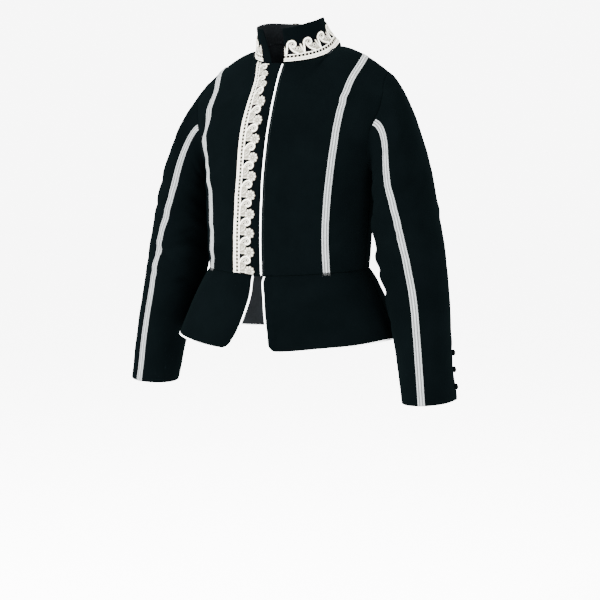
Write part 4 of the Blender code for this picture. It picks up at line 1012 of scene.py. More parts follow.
@kept
def braid_finish():
    """Woven braid of silver-grey thread, laid across its ribs. Its two grooves and its edges get painted
    shade.
    """
    f = Finish("silver_braid")
    base = tuple(colours().braid)
    threads = f.wave(f.place("UV"), 330.0, 1.2, "Y")
    slant = f.wave(f.place("UV", (1, 1, 1), 0.7), 260.0, 1.0)
    worn = f.noise(f.place("Object"), 55.0, 3.0)
    colour = f.ramp(worn, scaled(base, 0.86), scaled(base, 1.08), 0.3, 0.75)
    colour = f.mix(f.math("MULTIPLY", f.math("SUBTRACT", 1.0, threads), 0.35), colour, scaled(base, 0.5))
    across = f.node("ShaderNodeSeparateXYZ")
    f.link(f.place("UV"), across.inputs["Vector"])
    off = f.math("ABSOLUTE", f.math("SUBTRACT", across.outputs["X"], BRAID_FACE / 2), 0.0)
    groove = f.math("ABSOLUTE", f.math("SUBTRACT", off, BRAID_GROOVE * BRAID_FACE / 2), 0.0)
    # painted shade: the two grooves between the ribs and the edges, where the section dips, are painted nearly
    # black
    groove_shade = f.ramp(groove, (1.0, 1.0, 1.0), (0.0, 0.0, 0.0), 0.0012, 0.0017)
    edge_shade = f.ramp(off, (0.0, 0.0, 0.0), (1.0, 1.0, 1.0), 0.0051, 0.0058)
    colour = f.mix(groove_shade, colour, scaled(base, 0.02))
    colour = f.mix(edge_shade, colour, scaled(base, 0.05))
    normal = f.bump(threads, 0.5, 0.0004)
    normal = f.bump(slant, 0.25, 0.0003, normal)
    return f.done(colour, normal, 0.6, Metallic=0.1, Specular_IOR_Level=0.3)


@kept
def piping_finish():
    """White satin piping over a cord."""
    f = Finish("white_piping")
    base = tuple(colours().piping)
    twist = f.wave(f.place("UV", (1, 1, 1), 0.5), 170.0, 0.8)
    worn = f.noise(f.place("Object"), 80.0, 2.0)
    colour = f.ramp(worn, scaled(base, 0.86), base)
    colour = f.mix(f.math("MULTIPLY", f.math("SUBTRACT", 1.0, twist), 0.25), colour, scaled(base, 0.7))
    return f.done(colour, f.bump(twist, 0.25, 0.0003), 0.5, Specular_IOR_Level=0.4)


@kept
def lace_finish():
    """Ivory needle lace: close rows of thread, with painted shade between its cords, at its outlines and on
    its underside.
    """
    f = Finish("ivory_lace")
    base = tuple(colours().lace)
    warp = f.wave(f.place("UV", (1, 1, 1), 0.12), 250.0, 2.2, "X")
    weft = f.wave(f.place("UV", (1, 1, 1), -0.08), 250.0, 2.2, "Y")
    knots = f.math("MULTIPLY", warp, weft)
    age = f.noise(f.place("Object"), 28.0, 3.0)
    colour = f.ramp(age, scaled(base, 0.90), scaled(base, 1.04), 0.3, 0.75)
    between = (base[0] * 0.62, base[1] * 0.59, base[2] * 0.50)
    colour = f.mix(f.math("MULTIPLY", f.math("SUBTRACT", 1.0, knots), 0.30), colour, between)
    # painted shade: the attribute darkens the lace between its cords, at the outlines of its openings and on
    # its underside
    thread = f.node("ShaderNodeAttribute", attribute_name="thread")      # 1 on the cords, 0 between them
    colour = f.mix(f.ramp(thread.outputs["Fac"], (0.0, 0.0, 0.0), (1.0, 1.0, 1.0), 0.3, 1.0),
                   (base[0] * 0.12, base[1] * 0.115, base[2] * 0.10), colour)
    return f.done(colour, f.bump(knots, 0.55, 0.0004), 0.72, Specular_IOR_Level=0.1)


@kept
def thread_finish():
    """Ivory sewing thread."""
    f = Finish("sewing_thread")
    base = tuple(colours().lace)
    twist = f.noise(f.place("Object"), 900.0, 1.0)
    return f.done(f.ramp(twist, scaled(base, 0.6), scaled(base, 0.9)), None, 0.6, Specular_IOR_Level=0.3)


@kept
def dark_thread_finish():
    """Sewing thread of the velvet's colour."""
    f = Finish("dark_thread")
    twist = f.noise(f.place("Object"), 900.0, 1.0)
    colour = f.ramp(twist, (0.006, 0.009, 0.010), (0.014, 0.019, 0.021))
    return f.done(colour, None, 0.6, Specular_IOR_Level=0.2)


# ---- bodice --------------------------------------------------------------------------------------

# Rough heights of one level and of the last one, and the way round the armhole, for spacing the cloth's rows
LEVEL_HEIGHT, TOP_HEIGHT, ARMHOLE_ROUND = 0.090, 0.045, 0.42


def fine_levels():
    """Rows of the bodice: evenly up to the underarm, then at even turns of the armhole."""
    low = near_edges(36, 2 * LEVEL_HEIGHT, True, False) * UNDERARM
    low[0] = GAP / 2 / LEVEL_HEIGHT
    high = armhole_level(180 - 180 * near_edges(48, ARMHOLE_ROUND, False, False))
    rows = np.unique(np.concatenate([low, high, TOP - EDGE_STEPS / TOP_HEIGHT]))
    rows[-1] = TOP - GAP / 2 / TOP_HEIGHT
    return rows


def top_shares(start, stop, width):
    """Shares of the seams at the top, one of them at the corner between neck and shoulder."""
    even = near_edges(30, width)
    shares = start + (stop - start) * even
    nearest = np.argmin(np.abs(shares - NECK_SHARE))
    shares[nearest] = NECK_SHARE
    return shares


def build_bodice_panels():
    rows = fine_levels()
    level = rows[:, None]

    edge = share_at(lap_edge(rows), rows)
    seam = inset_share(princess_share(rows), rows, -1)
    share = spread(top_shares(edge[-1], seam[-1], 0.15), edge, seam)
    made = [panel("velvet_front_left", *body_at(share, level), free=["first column"])]

    # The right front runs on beneath the left one. It is worked out on the left and flipped.
    outs = np.linspace(0, 1, 13)[None, :]
    start, stop = LAP_UNDER + 0 * level, lap_edge(level) - LAP_CLEAR - LAP_SLOPE
    laps = start + (stop - start) * outs
    lap = -share_at(laps, np.broadcast_to(level, laps.shape))
    seam = inset_share(princess_share(rows, right=True), rows, -1)
    body = spread(top_shares(lap[-1, -1], seam[-1], 0.14), lap[:, -1], seam)
    keep = body[-1] > body[-1, 0] + 0.02
    share = np.concatenate([lap, body[:, keep]], axis=1)
    front = body_at(share, level, right=True, lap=True)
    made.append(panel("velvet_front_right", *front, free=["first column"]))

    above = rows > UNDERARM + 1e-6
    across = near_edges(26, 0.11)[None, :]
    far_edge = np.where(above, armhole_share(rows, False), inset_share(np.ones_like(rows), rows, -1))
    for side in ("left", "right"):
        seam = inset_share(princess_share(rows, side == "right"), rows, +1)
        share = seam[:, None] + (far_edge - seam)[:, None] * across
        made.append(panel(f"velvet_side_{side}", *body_at(share, level, right=side == "right")))

    far_edge = np.where(above, armhole_share(rows, True), inset_share(np.ones_like(rows), rows, -1, True))
    half = top_shares(0.0, far_edge[-1], 0.19)
    half = half[(half == 0) | (half > 0.02)]
    top = np.concatenate([-half[:0:-1], half])
    share = spread(top, -far_edge, far_edge)
    made.append(panel("velvet_back", *body_at(share, level, True)))
    return made


def build_collar_panel():
    base = COLLAR_LEFT.base + (360 - COLLAR_RIGHT.base - COLLAR_LEFT.base) * near_edges(170, 0.44)[None, :]
    height = near_edges(15, 0.075)[:, None] + 0 * base
    turn = collar_turn(base, height)
    free = ["last row", "first column", "last column"]
    return panel("velvet_collar", *collar_at(turn, height), free=free, tuck=COLLAR_TUCK)


def skirt_downs(left):
    """Rows of the skirt, closer together round the corner at the front of the hem."""
    corner = CORNER_LEFT if left else CORNER_RIGHT
    turns = np.radians(np.linspace(0, 90, 10))
    into = 1 + (corner * np.sin(turns) - corner) / SKIRT_LENGTH
    even = near_edges(24, SKIRT_LENGTH, True, False)
    return np.unique(np.concatenate([even[even < into[0] - 0.01], into, 1 - EDGE_STEPS[:4] / SKIRT_LENGTH]))


def skirt_front_points(left):
    down = skirt_downs(left)
    edge = skirt_turn_at(skirt_front_edge(down, left), down)
    turn = edge[:, None] + (90 - SIDE_TURN_GAP - edge)[:, None] * near_edges(40, 0.26)[None, :]
    return turn, down[:, None] + 0 * turn


def build_skirt_panels():
    made = []
    for left in (True, False):
        turn, down = skirt_front_points(left)
        side = "left" if left else "right"
        made.append(panel(f"velvet_skirt_{side}", *skirt_at(turn, down, right=not left),
                          free=["last row", "first column"]))
    down = near_edges(26, SKIRT_LENGTH)[:, None]
    turn = 90 + SIDE_TURN_GAP + (180 - 2 * SIDE_TURN_GAP) * near_edges(80, 0.55)[None, :]
    made.append(panel("velvet_skirt_back", *skirt_at(turn, down), free=["last row"]))
    return made


def fine_sleeve_rows():
    cap = near_edges(22, 0.13, True, False)
    arm = 1 + (RING_COUNT - 1) * near_edges(84, 0.40, False, True)
    return np.unique(np.concatenate([cap, arm]))


def build_sleeve_panels():
    made = []
    rows = fine_sleeve_rows()
    front, back = table(SLEEVE_FRONT_SEAM, rows), table(SLEEVE_BACK_SEAM, rows)
    at_front, at_back = (GAP / 2 / turn_width(seam, rows) for seam in (front, back))
    pieces = (("upper", back - 360 + at_back, front - at_front, near_edges(48, 0.22)),
              ("under", front + at_front, back - at_back, near_edges(40, 0.18)))
    for side in ("left", "right"):
        for name, start, stop, across in pieces:
            turn = start[:, None] + (stop - start)[:, None] * across[None, :]
            grid = sleeve_at(turn, rows[:, None], side)
            made.append(panel(f"velvet_sleeve_{name}_{side}", *grid, free=["last row"]))
    return made


# ---- braid ---------------------------------------------------------------------------------------

# Across the braid, in half widths from its middle: how high it stands against its full thickness. It has
# three ribs and two grooves.
BRAID_SECTION = [
    (-1.00, 0.10), (-0.97, 0.42), (-0.90, 0.74), (-0.78, 0.96), (-0.66, 0.98), (-0.54, 0.84),
    (-0.45, 0.52), (-0.37, 0.50), (-0.27, 0.82), (-0.14, 0.98), (0.00, 1.00), (0.14, 0.98), (0.27, 0.82),
    (0.37, 0.50), (0.45, 0.52), (0.54, 0.84), (0.66, 0.98), (0.78, 0.96), (0.90, 0.74), (0.97, 0.42),
    (1.00, 0.10),
]


def along_length(points, spacing):
    """Places along a run of points, evenly spaced by length, as shares of its numbering."""
    run = np.concatenate([[0], np.cumsum(np.linalg.norm(np.diff(points, axis=0), axis=1))])
    count = max(2, int(round(run[-1] / spacing)))
    return np.interp(np.linspace(0, run[-1], count + 1), run, np.arange(len(points)))


def build_braid(name, surface, rows):
    """surface(across, row) gives points and normals, across in half widths."""
    middle, _ = surface(np.zeros(len(rows)), rows)
    spots = np.interp(along_length(middle, 0.0018), np.arange(len(rows)), rows)
    across = np.array([a for a, _ in BRAID_SECTION])[None, :]
    high = np.array([h for _, h in BRAID_SECTION])[None, :]
    points, normals = surface(across + 0 * spots[:, None], spots[:, None] + 0 * across)
    _, u, v = edge_distance(points)
    ribbed = (BRAID_THICK + sizes().braid_rib) * high
    ripple = 0.00007 * np.sin(v / 0.0018 * 0.5 * math.pi) * (high > 0.6)
    thick = (ribbed + ripple) * np.minimum(1, 0.25 + np.minimum(v, v.max(axis=0) - v) / 0.0008)
    lift = sizes().trim_lift
    return shell(name, points + normals * (lift + thick)[..., None], points + normals * lift * 0.4,
                 np.stack([u, v], axis=-1), [braid_finish()])


def front_braid_surface(side):
    def at(across, level):
        middle = princess_share(level, side == "right")
        share = middle + across * BRAID_FACE / 2 / share_width(middle, level)
        return body_at(share, level, right=side == "right")

    return at


def sleeve_braid_surface(side):
    def at(across, row):
        front = table(SLEEVE_FRONT_SEAM, row)
        return sleeve_at(front + across * BRAID_FACE / 2 / turn_width(front, row), row, side)

    return at


def build_braids():
    down_front, down_sleeve = np.linspace(0.012, TOP - 0.022, 160), np.linspace(0.03, RING_COUNT - 0.01, 200)
    for side in ("left", "right"):
        piece = build_braid(f"braid_on_front_{side}", front_braid_surface(side), down_front)
        finish_piece(piece, "silver_braid", f"braid_front_{side}")
        piece = build_braid(f"braid_on_sleeve_{side}", sleeve_braid_surface(side), down_sleeve)
        finish_piece(piece, "silver_braid", f"braid_sleeve_{side}")


def ring_faces(rings, sides):
    """Faces round a run of rings of points, closed at both ends."""
    index = np.arange(rings * sides).reshape(-1, sides)
    after = np.roll(index, -1, axis=1)
    walls = np.stack([index[:-1], after[:-1], after[1:], index[1:]], axis=-1).reshape(-1, 4).tolist()
    return walls + [index[0, ::-1].tolist(), index[-1].tolist()]


def tube_mesh(centres, radii, sides):
    """Rings round a run of points, closed at both ends: points and faces."""
    tangents = unit(np.gradient(centres, axis=0))
    across = unit(np.cross(tangents, np.array([0.31, 0.52, 0.80])))
    for i in range(1, len(centres)):
        across[i] = across[i - 1] - tangents[i] * np.dot(across[i - 1], tangents[i])
        across[i] /= np.linalg.norm(across[i])
    other = np.cross(tangents, across)
    turns = np.arange(sides) * 2 * math.pi / sides
    rings = centres[:, None] + np.asarray(radii)[:, None, None] * (
        across[:, None] * np.cos(turns)[:, None] + other[:, None] * np.sin(turns)[:, None])
    return rings.reshape(-1, 3), ring_faces(len(centres), sides)


def joined(meshes):
    """The points and faces of several meshes as one."""
    points, faces, start = [], [], 0
    for some, around in meshes:
        points.append(some)
        faces += [[corner + start for corner in face] for face in around]
        start += len(some)
    return np.concatenate(points), faces


TUFT_RADIUS = 0.00030


def build_tufts():
    """Where the body braid is cut at the waist, its three ribs end in short tufts of thread."""
    rng = np.random.default_rng(11)
    for side in ("left", "right"):
        strands = []
        at = front_braid_surface(side)
        for rib in (-0.72, 0.0, 0.72):
            foot, normal = (a[0] for a in at(np.array([rib]), np.array([0.03])))
            higher = at(np.array([rib]), np.array([0.06]))[0][0]
            down = unit(foot - higher)
            aside = np.cross(normal, down)
            for _ in range(9):
                start = foot + aside * rng.uniform(-0.0016, 0.0016) + normal * rng.uniform(0.0006, 0.0013)
                reach, lean = rng.uniform(0.0050, 0.0078), rng.uniform(-0.35, 0.35)
                steps = np.linspace(0, 1, 5)[:, None]
                line = (start + down * reach * steps + aside * lean * reach * steps**1.5
                        + normal * 0.0010 * np.sin(2.2 * steps))
                strands.append(tube_mesh(line, TUFT_RADIUS * (1 - 0.5 * steps[:, 0]), 5))
        points, faces = joined(strands)
        piece = made_object(f"braid_tufts_{side}", points, faces, [braid_finish()], points[:, [0, 2]])
        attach(piece, "root")


# ---- piping --------------------------------------------------------------------------------------

CORD_STEP, CORD_SIDES = 0.0022, 12
CORD_OUT = PIPING_RADIUS * 0.86          # from the cloth's edge to the middle of the cord


def build_cord(name, centres):
    spots = along_length(centres, CORD_STEP)
    fine = np.stack([np.interp(spots, np.arange(len(centres)), centres[:, k]) for k in range(3)], axis=-1)
    radii = np.full(len(fine), PIPING_RADIUS)
    radii[[0, -1]] *= 0.55
    radii[[1, -2]] *= 0.95
    points, faces = tube_mesh(fine, radii, CORD_SIDES)
    run = np.repeat(np.arange(len(fine)) * CORD_STEP, CORD_SIDES)
    round_it = np.tile(np.arange(CORD_SIDES) * 2 * math.pi * PIPING_RADIUS / CORD_SIDES, len(fine))
    return made_object(name, points, faces, [piping_finish()], np.stack([run, round_it], axis=-1))


def edge_cord(points, normals, path, drop):
    """Centres of a cord along a grid's edge. path: each edge point and its inner neighbour."""
    edge = np.array([points[at] for at, _ in path])
    away_from = unit(edge - np.array([points[inside] for _, inside in path]))
    along = unit(np.gradient(edge, axis=0))
    away_from = unit(away_from - along * np.sum(away_from * along, axis=1)[:, None])
    normal = np.array([normals[at] for at, _ in path])
    return edge + away_from * CORD_OUT - normal * drop


IN_CLOTH = 6             # so many points in from an edge the cloth has stopped rolling


def build_pipings():
    rows = np.linspace(0.0010 / LEVEL_HEIGHT, TOP - 0.0012 / TOP_HEIGHT, 220)
    edge = share_at(lap_edge(rows), rows)
    points, normals = body_at(edge, rows)
    inside, _ = body_at(share_at(lap_edge(rows) + 0.004, rows), rows)
    out = unit(points - inside)
    piece = build_cord("piping_on_front", points + out * CORD_OUT - normals * 0.0009)
    finish_piece(piece, "white_piping", "piping_front_left")
    for left in (True, False):
        turn, down = skirt_front_points(left)
        points, normals = skirt_at(turn, down, right=not left)
        last_row, last_column = down.shape[0] - 1, down.shape[1] - 1
        path = [((i, 0), (i, IN_CLOTH)) for i in range(last_row)]
        path += [((last_row, j), (last_row - IN_CLOTH, j)) for j in range(IN_CLOTH, last_column + 1)]
        centres = edge_cord(points, normals, path, WALL / 2)
        centres[0] += (0, 0, -0.0012)
        side = "left" if left else "right"
        finish_piece(build_cord(f"piping_on_skirt_{side}", centres), "white_piping", f"piping_skirt_{side}")
    turn = np.linspace(90.2, 269.8, 240)
    points, normals = skirt_at(turn, 1 + 0 * turn)
    above, _ = skirt_at(turn, 0.94 + 0 * turn)
    below = unit(points - above)
    piece = build_cord("piping_on_skirt_back", points + below * CORD_OUT - normals * WALL / 2)
    finish_piece(piece, "white_piping", "piping_skirt_back")


# ---- lace ----------------------------------------------------------------------------------------

# The lace is drawn once for one repeat, in millimetres: x along the band from the middle of the repeat, y up
# from the sewn edge. A cord is a run of points with its half width and how high it stands, a fill a disc of
# cloth and a hole an open one. A ring has x, y, its radius, its half width and how high it stands. The beads
# are small holes in a row along the foot.
REPEAT, DEPTH = 36.0, 44.0
Cord = namedtuple("Cord", "points half raise_")
Drawing = namedtuple("Drawing", "foot bead_row bead_radius rim cords fills holes rings")
BEAD_PITCH = 7.2
EYELET_THREAD = 0.75
LACE_STEP = 0.6          # from point to point of its mesh


def ring_of(x, y, radius, count, start=0.0):
    turns = np.radians(start + np.arange(count) * 360 / count)
    return [(x + radius * math.cos(t), y + radius * math.sin(t)) for t in turns]


# The front lace's tips are rosettes of nine petals
ROSETTE = (4.0, 33.2)
PETALS = ring_of(*ROSETTE, 7.7, 9, 90.0)
FRONT_DRAWING = Drawing(
    foot=4.4, bead_row=7.8, bead_radius=2.1, rim=13.4,
    cords=[
        Cord([(-14.6, 14.4), (-12.0, 15.6), (-8.9, 18.0), (-5.4, 22.4), (-4.2, 27.5), (-6.0, 32.4),
              (-10.4, 34.9), (-15.0, 33.0), (-17.0, 28.6), (-15.8, 25.6)], 1.9, 0.85),
        Cord([(-10.5, 24.6), (-13.4, 27.6), (-11.2, 31.2), (-7.6, 29.4), (-8.2, 25.6)], 1.3, 0.55),
        Cord([(-16.5, 15.0), (-14.6, 18.0), (-11.6, 20.6), (-9.0, 24.0)], 1.5, 0.55),
        Cord([(2.0, 13.5), (1.4, 18.0), (1.6, 22.6), (3.4, 25.4)], 1.5, 0.60),
        Cord([(20.0, 25.2), (15.6, 25.0), (11.6, 23.6), (8.4, 20.2), (6.6, 15.2)], 1.5, 0.60),
        Cord([(5.6, 14.6), (5.4, 19.2), (6.2, 23.2)], 1.4, 0.40),
        Cord([(16.0, 14.6), (14.6, 18.4), (16.4, 21.6), (19.6, 22.4)], 1.5, 0.50)],
    fills=[((-10.5, 28.3), 7.6), ((-12.5, 19.2), 4.0), ((-15.5, 17.5), 4.5), ((-5.2, 34.2), 1.8)]
          + [(ROSETTE, 8.0)] + [(spot, 2.75) for spot in PETALS]
          + [((x, y), 2.6) for x in (3.0, 6.5, 10.0, 13.5, 17.0, 20.0) for y in (14.0, 17.5, 21.0, 23.4)],
    holes=[(-10.7, 27.9, 1.6), (-14.0, 21.4, 1.35), (11.4, 18.6, 1.1)],
    rings=[(*ROSETTE, 4.9, 1.25, 0.55), (*ROSETTE, 0.0, 1.9, 0.65)]
          + [(*spot, 0.0, 2.5, 0.75) for spot in PETALS])
COLLAR_FILLS = [
    (-2.6, 28.6), (1.0, 25.6), (4.4, 22.0), (4.6, 27.0), (8.4, 19.0), (8.6, 24.6), (12.4, 17.5), (12.6, 22.4),
    (12.4, 25.4), (15.8, 17.8), (16.4, 22.2), (16.2, 25.4), (19.0, 20.0), (6.0, 17.6), (17.8, 16.6),
    (20.6, 17.0),
]
COLLAR_DRAWING = Drawing(
    foot=5.8, bead_row=9.9, bead_radius=2.4, rim=14.6,
    cords=[
        Cord([(-14.2, 15.8), (-13.6, 19.5), (-12.8, 25.0), (-12.5, 30.5), (-11.6, 36.0), (-7.8, 40.2),
              (-3.4, 41.4), (1.6, 41.0), (5.4, 37.6), (5.6, 33.0), (2.4, 29.6), (-1.8, 29.4)], 2.1, 0.90),
        Cord([(-14.6, 16.0), (-16.4, 20.8), (-18.2, 26.5), (-19.7, 32.2)], 1.9, 0.75),
        Cord([(-1.8, 37.6), (-4.6, 35.2), (-4.4, 31.8), (-1.4, 30.0)], 1.5, 0.55),
        Cord([(-7.2, 33.6), (-6.4, 29.8), (-4.4, 25.8), (-1.0, 21.8), (3.2, 18.2), (8.4, 15.4)], 2.3, 0.80),
        Cord([(0.6, 26.8), (3.6, 29.4), (7.0, 27.6), (6.6, 23.6), (4.6, 21.4)], 1.3, 0.50),
        Cord([(7.8, 22.6), (8.0, 26.0), (10.6, 28.0), (13.0, 25.6), (12.4, 22.4)], 1.3, 0.50),
        Cord([(8.6, 18.2), (12.6, 19.6), (16.6, 19.0), (20.0, 16.4)], 1.5, 0.50)],
    fills=[((-0.3, 35.0), 7.8), ((-9.2, 34.6), 2.9), ((-8.6, 31.0), 2.2), ((-15.0, 20.0), 1.8),
           ((-15.4, 23.6), 2.3), ((-15.8, 26.6), 2.4)] + [(spot, 3.0) for spot in COLLAR_FILLS],
    holes=[(-0.4, 34.8, 1.75), (4.3, 24.7, 1.4), (10.4, 25.1, 1.4), (14.6, 22.4, 0.9)],
    rings=[(-0.4, 34.8, 3.4, 1.4, 0.35)])


def mound(off, half):
    """The height of a half-round cord, up to 1, that far off its middle."""
    return np.sqrt(np.clip(1 - (off / half) ** 2, 0, 1))


def lace_field(drawing, u, v):
    """How far inside the lace a point of the drawing lies, in millimetres, and how high its cords stand."""
    def off(x):
        return np.mod(u - x + REPEAT / 2, REPEAT) - REPEAT / 2

    def spoke(x, y):
        return np.hypot(off(x), v - y)

    def run(points):
        """Distance from a run of points."""
        nearest = np.full(np.shape(u), np.inf)
        for (x0, y0), (x1, y1) in zip(points, points[1:]):
            middle = (x0 + x1) / 2
            a, b = off(middle) + middle - x0, v - y0
            t = np.clip((a * (x1 - x0) + b * (y1 - y0)) / ((x1 - x0) ** 2 + (y1 - y0) ** 2), 0, 1)
            nearest = np.minimum(nearest, np.hypot(a - t * (x1 - x0), b - t * (y1 - y0)))
        return nearest

    inside = drawing.rim + 0.20 * np.cos(2 * math.pi * u / 3.6) - v
    raised_up = np.zeros(np.shape(u))
    for (x, y), radius in drawing.fills:
        inside = np.maximum(inside, radius - spoke(x, y))
    for cord in drawing.cords:
        away_from = run(smooth_run(cord.points))
        inside = np.maximum(inside, cord.half - away_from)
        raised_up = np.maximum(raised_up, cord.raise_ * mound(away_from, cord.half))
    for x, y, radius, half, high in drawing.rings:
        raised_up = np.maximum(raised_up, high * mound(spoke(x, y) - radius, half))
    bead = drawing.bead_radius - np.hypot(np.mod(u, BEAD_PITCH) - BEAD_PITCH / 2, v - drawing.bead_row)
    hole = np.maximum(bead, np.max([radius - spoke(x, y) for x, y, radius in drawing.holes], axis=0))
    for x, y, radius in drawing.holes:                     # a thread is whipped round each eyelet
        whipped = mound(spoke(x, y) - radius - EYELET_THREAD, EYELET_THREAD)
        raised_up = np.maximum(raised_up, EYELET_THREAD * whipped)
    for y, half, high in ((drawing.rim - 1.0, 0.9, 0.50), (drawing.foot, 0.6, 0.40), (0.9, 0.7, 0.35)):
        raised_up = np.maximum(raised_up, high * mound(v - y, half))
    raised_up += 0.06 * np.cos(2 * math.pi * (u * 0.55 + v * 0.30)) * (v > drawing.rim)
    return np.minimum(inside, -hole), raised_up


def smooth_run(points):
    """The same run with points between, on a smooth curve."""
    t = np.linspace(0, len(points) - 1, 3 * (len(points) - 1) + 1)
    return list(zip(table([x for x, _ in points], t), table([y for _, y in points], t)))


def lace_length(drawing):
    """One repeat of the lace, flat: a closed shell open only at its two ends."""
    columns, rows = round(REPEAT / LACE_STEP), round((DEPTH + 1.0) / LACE_STEP)
    u = np.linspace(-REPEAT / 2, REPEAT / 2, columns + 1)[None, :] + np.zeros((rows + 1, 1))
    v = np.linspace(0, DEPTH + 1.0, rows + 1)[:, None] + np.zeros((1, columns + 1))
    for _ in range(5):                                      # points near the drawing's outline move on to it
        s, _ = lace_field(drawing, u, v)
        e = 0.02
        gu = (lace_field(drawing, u + e, v)[0] - lace_field(drawing, u - e, v)[0]) / (2 * e)
        gv = (lace_field(drawing, u, v + e)[0] - lace_field(drawing, u, v - e)[0]) / (2 * e)
        gu[:, [0, -1]] = 0
        gv[0] = 0
        size = np.maximum(gu**2 + gv**2, 0.3)
        near = np.abs(s) < 0.70 * LACE_STEP
        u = np.where(near, u - np.clip(s * gu / size, -0.3, 0.3), u)
        v = np.where(near, v - np.clip(s * gv / size, -0.3, 0.3), v)
    u[:, 0], u[:, -1] = -REPEAT / 2, REPEAT / 2
    v[:, -1] = v[:, 0]
    v[0] = 0
    s, cord = lace_field(drawing, u, v)
    s[:, -1], cord[:, -1] = s[:, 0], cord[:, 0]
    inside = s > -0.06
    index = np.arange(u.size).reshape(u.shape)
    faces = []
    corners = np.stack([index[:-1, :-1], index[:-1, 1:], index[1:, 1:], index[1:, :-1]], axis=-1)
    flat_inside, flat_s = inside.ravel(), s.ravel()
    for quad in corners.reshape(-1, 4):
        good = [corner for corner in quad if flat_inside[corner]]
        if len(good) > 2 and flat_s[good].mean() > 0.02:
            faces.append(good)
    half = sizes().lace_thickness * 1000 / 2
    inward = np.clip(s.ravel() / 0.9, 0, 1)
    body = 0.30 + 0.70 * np.sqrt(1 - (1 - inward) ** 2)
    front = half * body + (half * cord.ravel()) * smoothstep(inward)
    points = np.concatenate([np.stack([u.ravel(), v.ravel(), z], axis=-1) for z in (front, -half * body)])
    count = u.size
    sides = {(a, b): True for face in faces for a, b in zip(face, face[1:] + face[:1])}
    at_end = np.abs(np.abs(u.ravel()) - REPEAT / 2) < 1e-9
    open_sides = [(a, b) for a, b in sides if (b, a) not in sides and not (at_end[a] and at_end[b])]
    every = faces + [[corner + count for corner in face[::-1]] for face in faces]
    every += [[b, a, a + count, b + count] for a, b in open_sides]
    used = sorted({corner for face in every for corner in face})
    new = {corner: i for i, corner in enumerate(used)}
    points = points[used]
    # painted shade: 1 on the raised cords, falling off in the recesses between them and towards the outlines;
    # the underside gets 0 and is painted dark all over
    light_band, light_tips = 0.50 + 0.40 * np.clip(cord / 0.4, 0, 1), 0.03 + 1.10 * np.clip(cord, 0, 1) ** 1.6
    light = (np.where(v < drawing.rim, light_band, light_tips) * smoothstep(s / 0.8)).ravel()
    light = np.clip(np.concatenate([light, 0 * light]), 0, 1)[used]
    return points / 1000, [[new[corner] for corner in face] for face in every], points[:, :2] / 1000, light


def lace_strip(name, drawing, repeats, start, stop):
    """Lace lying flat along X, cut at start and stop, in millimetres from the first repeat's middle."""
    points, faces, uv, light = lace_length(drawing)
    part = made_object("lace_repeat", points, faces, [lace_finish()], uv)
    # the painted shade is stored in the point attribute "thread"
    part.data.attributes.new("thread", "FLOAT", "POINT").data.foreach_set("value", light.astype(np.float32))
    host = made_object("lace_host", np.zeros((1, 3)), [], [lace_finish()])
    mesh = run_tree(host, repeat_tree(), {"Repeats": repeats, "Pitch": REPEAT / 1000, "Length": part,
                                          "Material": lace_finish()})
    mesh.name = name
    made = placed(name, mesh)
    for old in (part, host):
        bpy.data.objects.remove(old)
    work = bmesh.new()
    work.from_mesh(mesh)
    for at, way in ((start + 0.05, -1), (stop - 0.05, 1)):
        cut = bmesh.ops.bisect_plane(work, geom=[*work.verts, *work.edges, *work.faces], clear_outer=True,
                                     plane_co=(at / 1000, 0, 0), plane_no=(way, 0, 0), dist=1e-7)
        edges = [e for e in cut["geom_cut"] if isinstance(e, bmesh.types.BMEdge) and e.is_boundary]
        bmesh.ops.holes_fill(work, edges=edges, sides=0)
    bmesh.ops.recalc_face_normals(work, faces=work.faces)
    work.to_mesh(mesh)
    work.free()
    mesh.shade_smooth()
    return made


def bend(piece, surface, low, high, lift):
    """Moves a flat piece on to a strip of surface. surface takes shares of the strip's length and depth."""
    mesh = piece.data
    flat = np.empty(len(mesh.vertices) * 3, np.float32)
    mesh.vertices.foreach_get("co", flat)
    flat = flat.reshape(-1, 3).astype(float)
    lay = mesh.uv_layers.get("UVMap") or mesh.uv_layers.new(name="UVMap")
    lay.data.foreach_set("uv", flat[vertex_of_corners(mesh), :2].astype(np.float32).ravel())
    along, across = np.linspace(0, 1, 601), np.linspace(0, 1, 31)
    points, normals = surface(along[:, None] + 0 * across, across[None, :] + 0 * along[:, None])
    i = np.clip((flat[:, 0] - low) / (high - low), 0, 1) * (len(along) - 1)
    j = np.clip(flat[:, 1] / (DEPTH / 1000), 0, 1) * (len(across) - 1)
    i0, j0 = np.minimum(i.astype(int), len(along) - 2), np.minimum(j.astype(int), len(across) - 2)
    a, b = (i - i0)[:, None], (j - j0)[:, None]

    def at(grid):
        return ((grid[i0, j0] * (1 - a) + grid[i0 + 1, j0] * a) * (1 - b)
                + (grid[i0, j0 + 1] * (1 - a) + grid[i0 + 1, j0 + 1] * a) * b)

    spot, normal = at(points), unit(at(normals))
    beyond = np.maximum(flat[:, 1] - DEPTH / 1000, 0.0)[:, None]
    outward = unit(at(np.gradient(points, axis=1)))
    free = smoothstep((flat[:, 1] / (DEPTH / 1000) - 0.35) / 0.65)
    rise = lift + 0.0006 * free * (0.5 + 0.5 * np.sin(flat[:, 0] / 0.0115))
    spot = spot + outward * beyond + normal * (flat[:, 2] + rise + sizes().lace_thickness / 2)[:, None]
    mesh.vertices.foreach_set("co", spot.astype(np.float32).ravel())
    mesh.update()
    along_u, along_v = points[300, 15] - points[299, 15], points[300, 15] - points[300, 14]
    if np.dot(np.cross(along_u, along_v), normals[300, 15]) < 0:
        mesh.flip_normals()


def front_lace_surface():
    stop = TOP - 0.05
    t, length = length_table(lambda level: bodice(share_at(table(LACE_EDGE_OUT, level), level), level), stop)

    def at(along, across):
        level = np.interp(0.002 + along * (length[-1] - 0.003), length, t)
        out = table(LACE_EDGE_OUT, level) * (1 - across) + table(LACE_TIPS_OUT, level) * across
        return body_at(-share_at(out, level), level, right=True, lap=True)

    return at


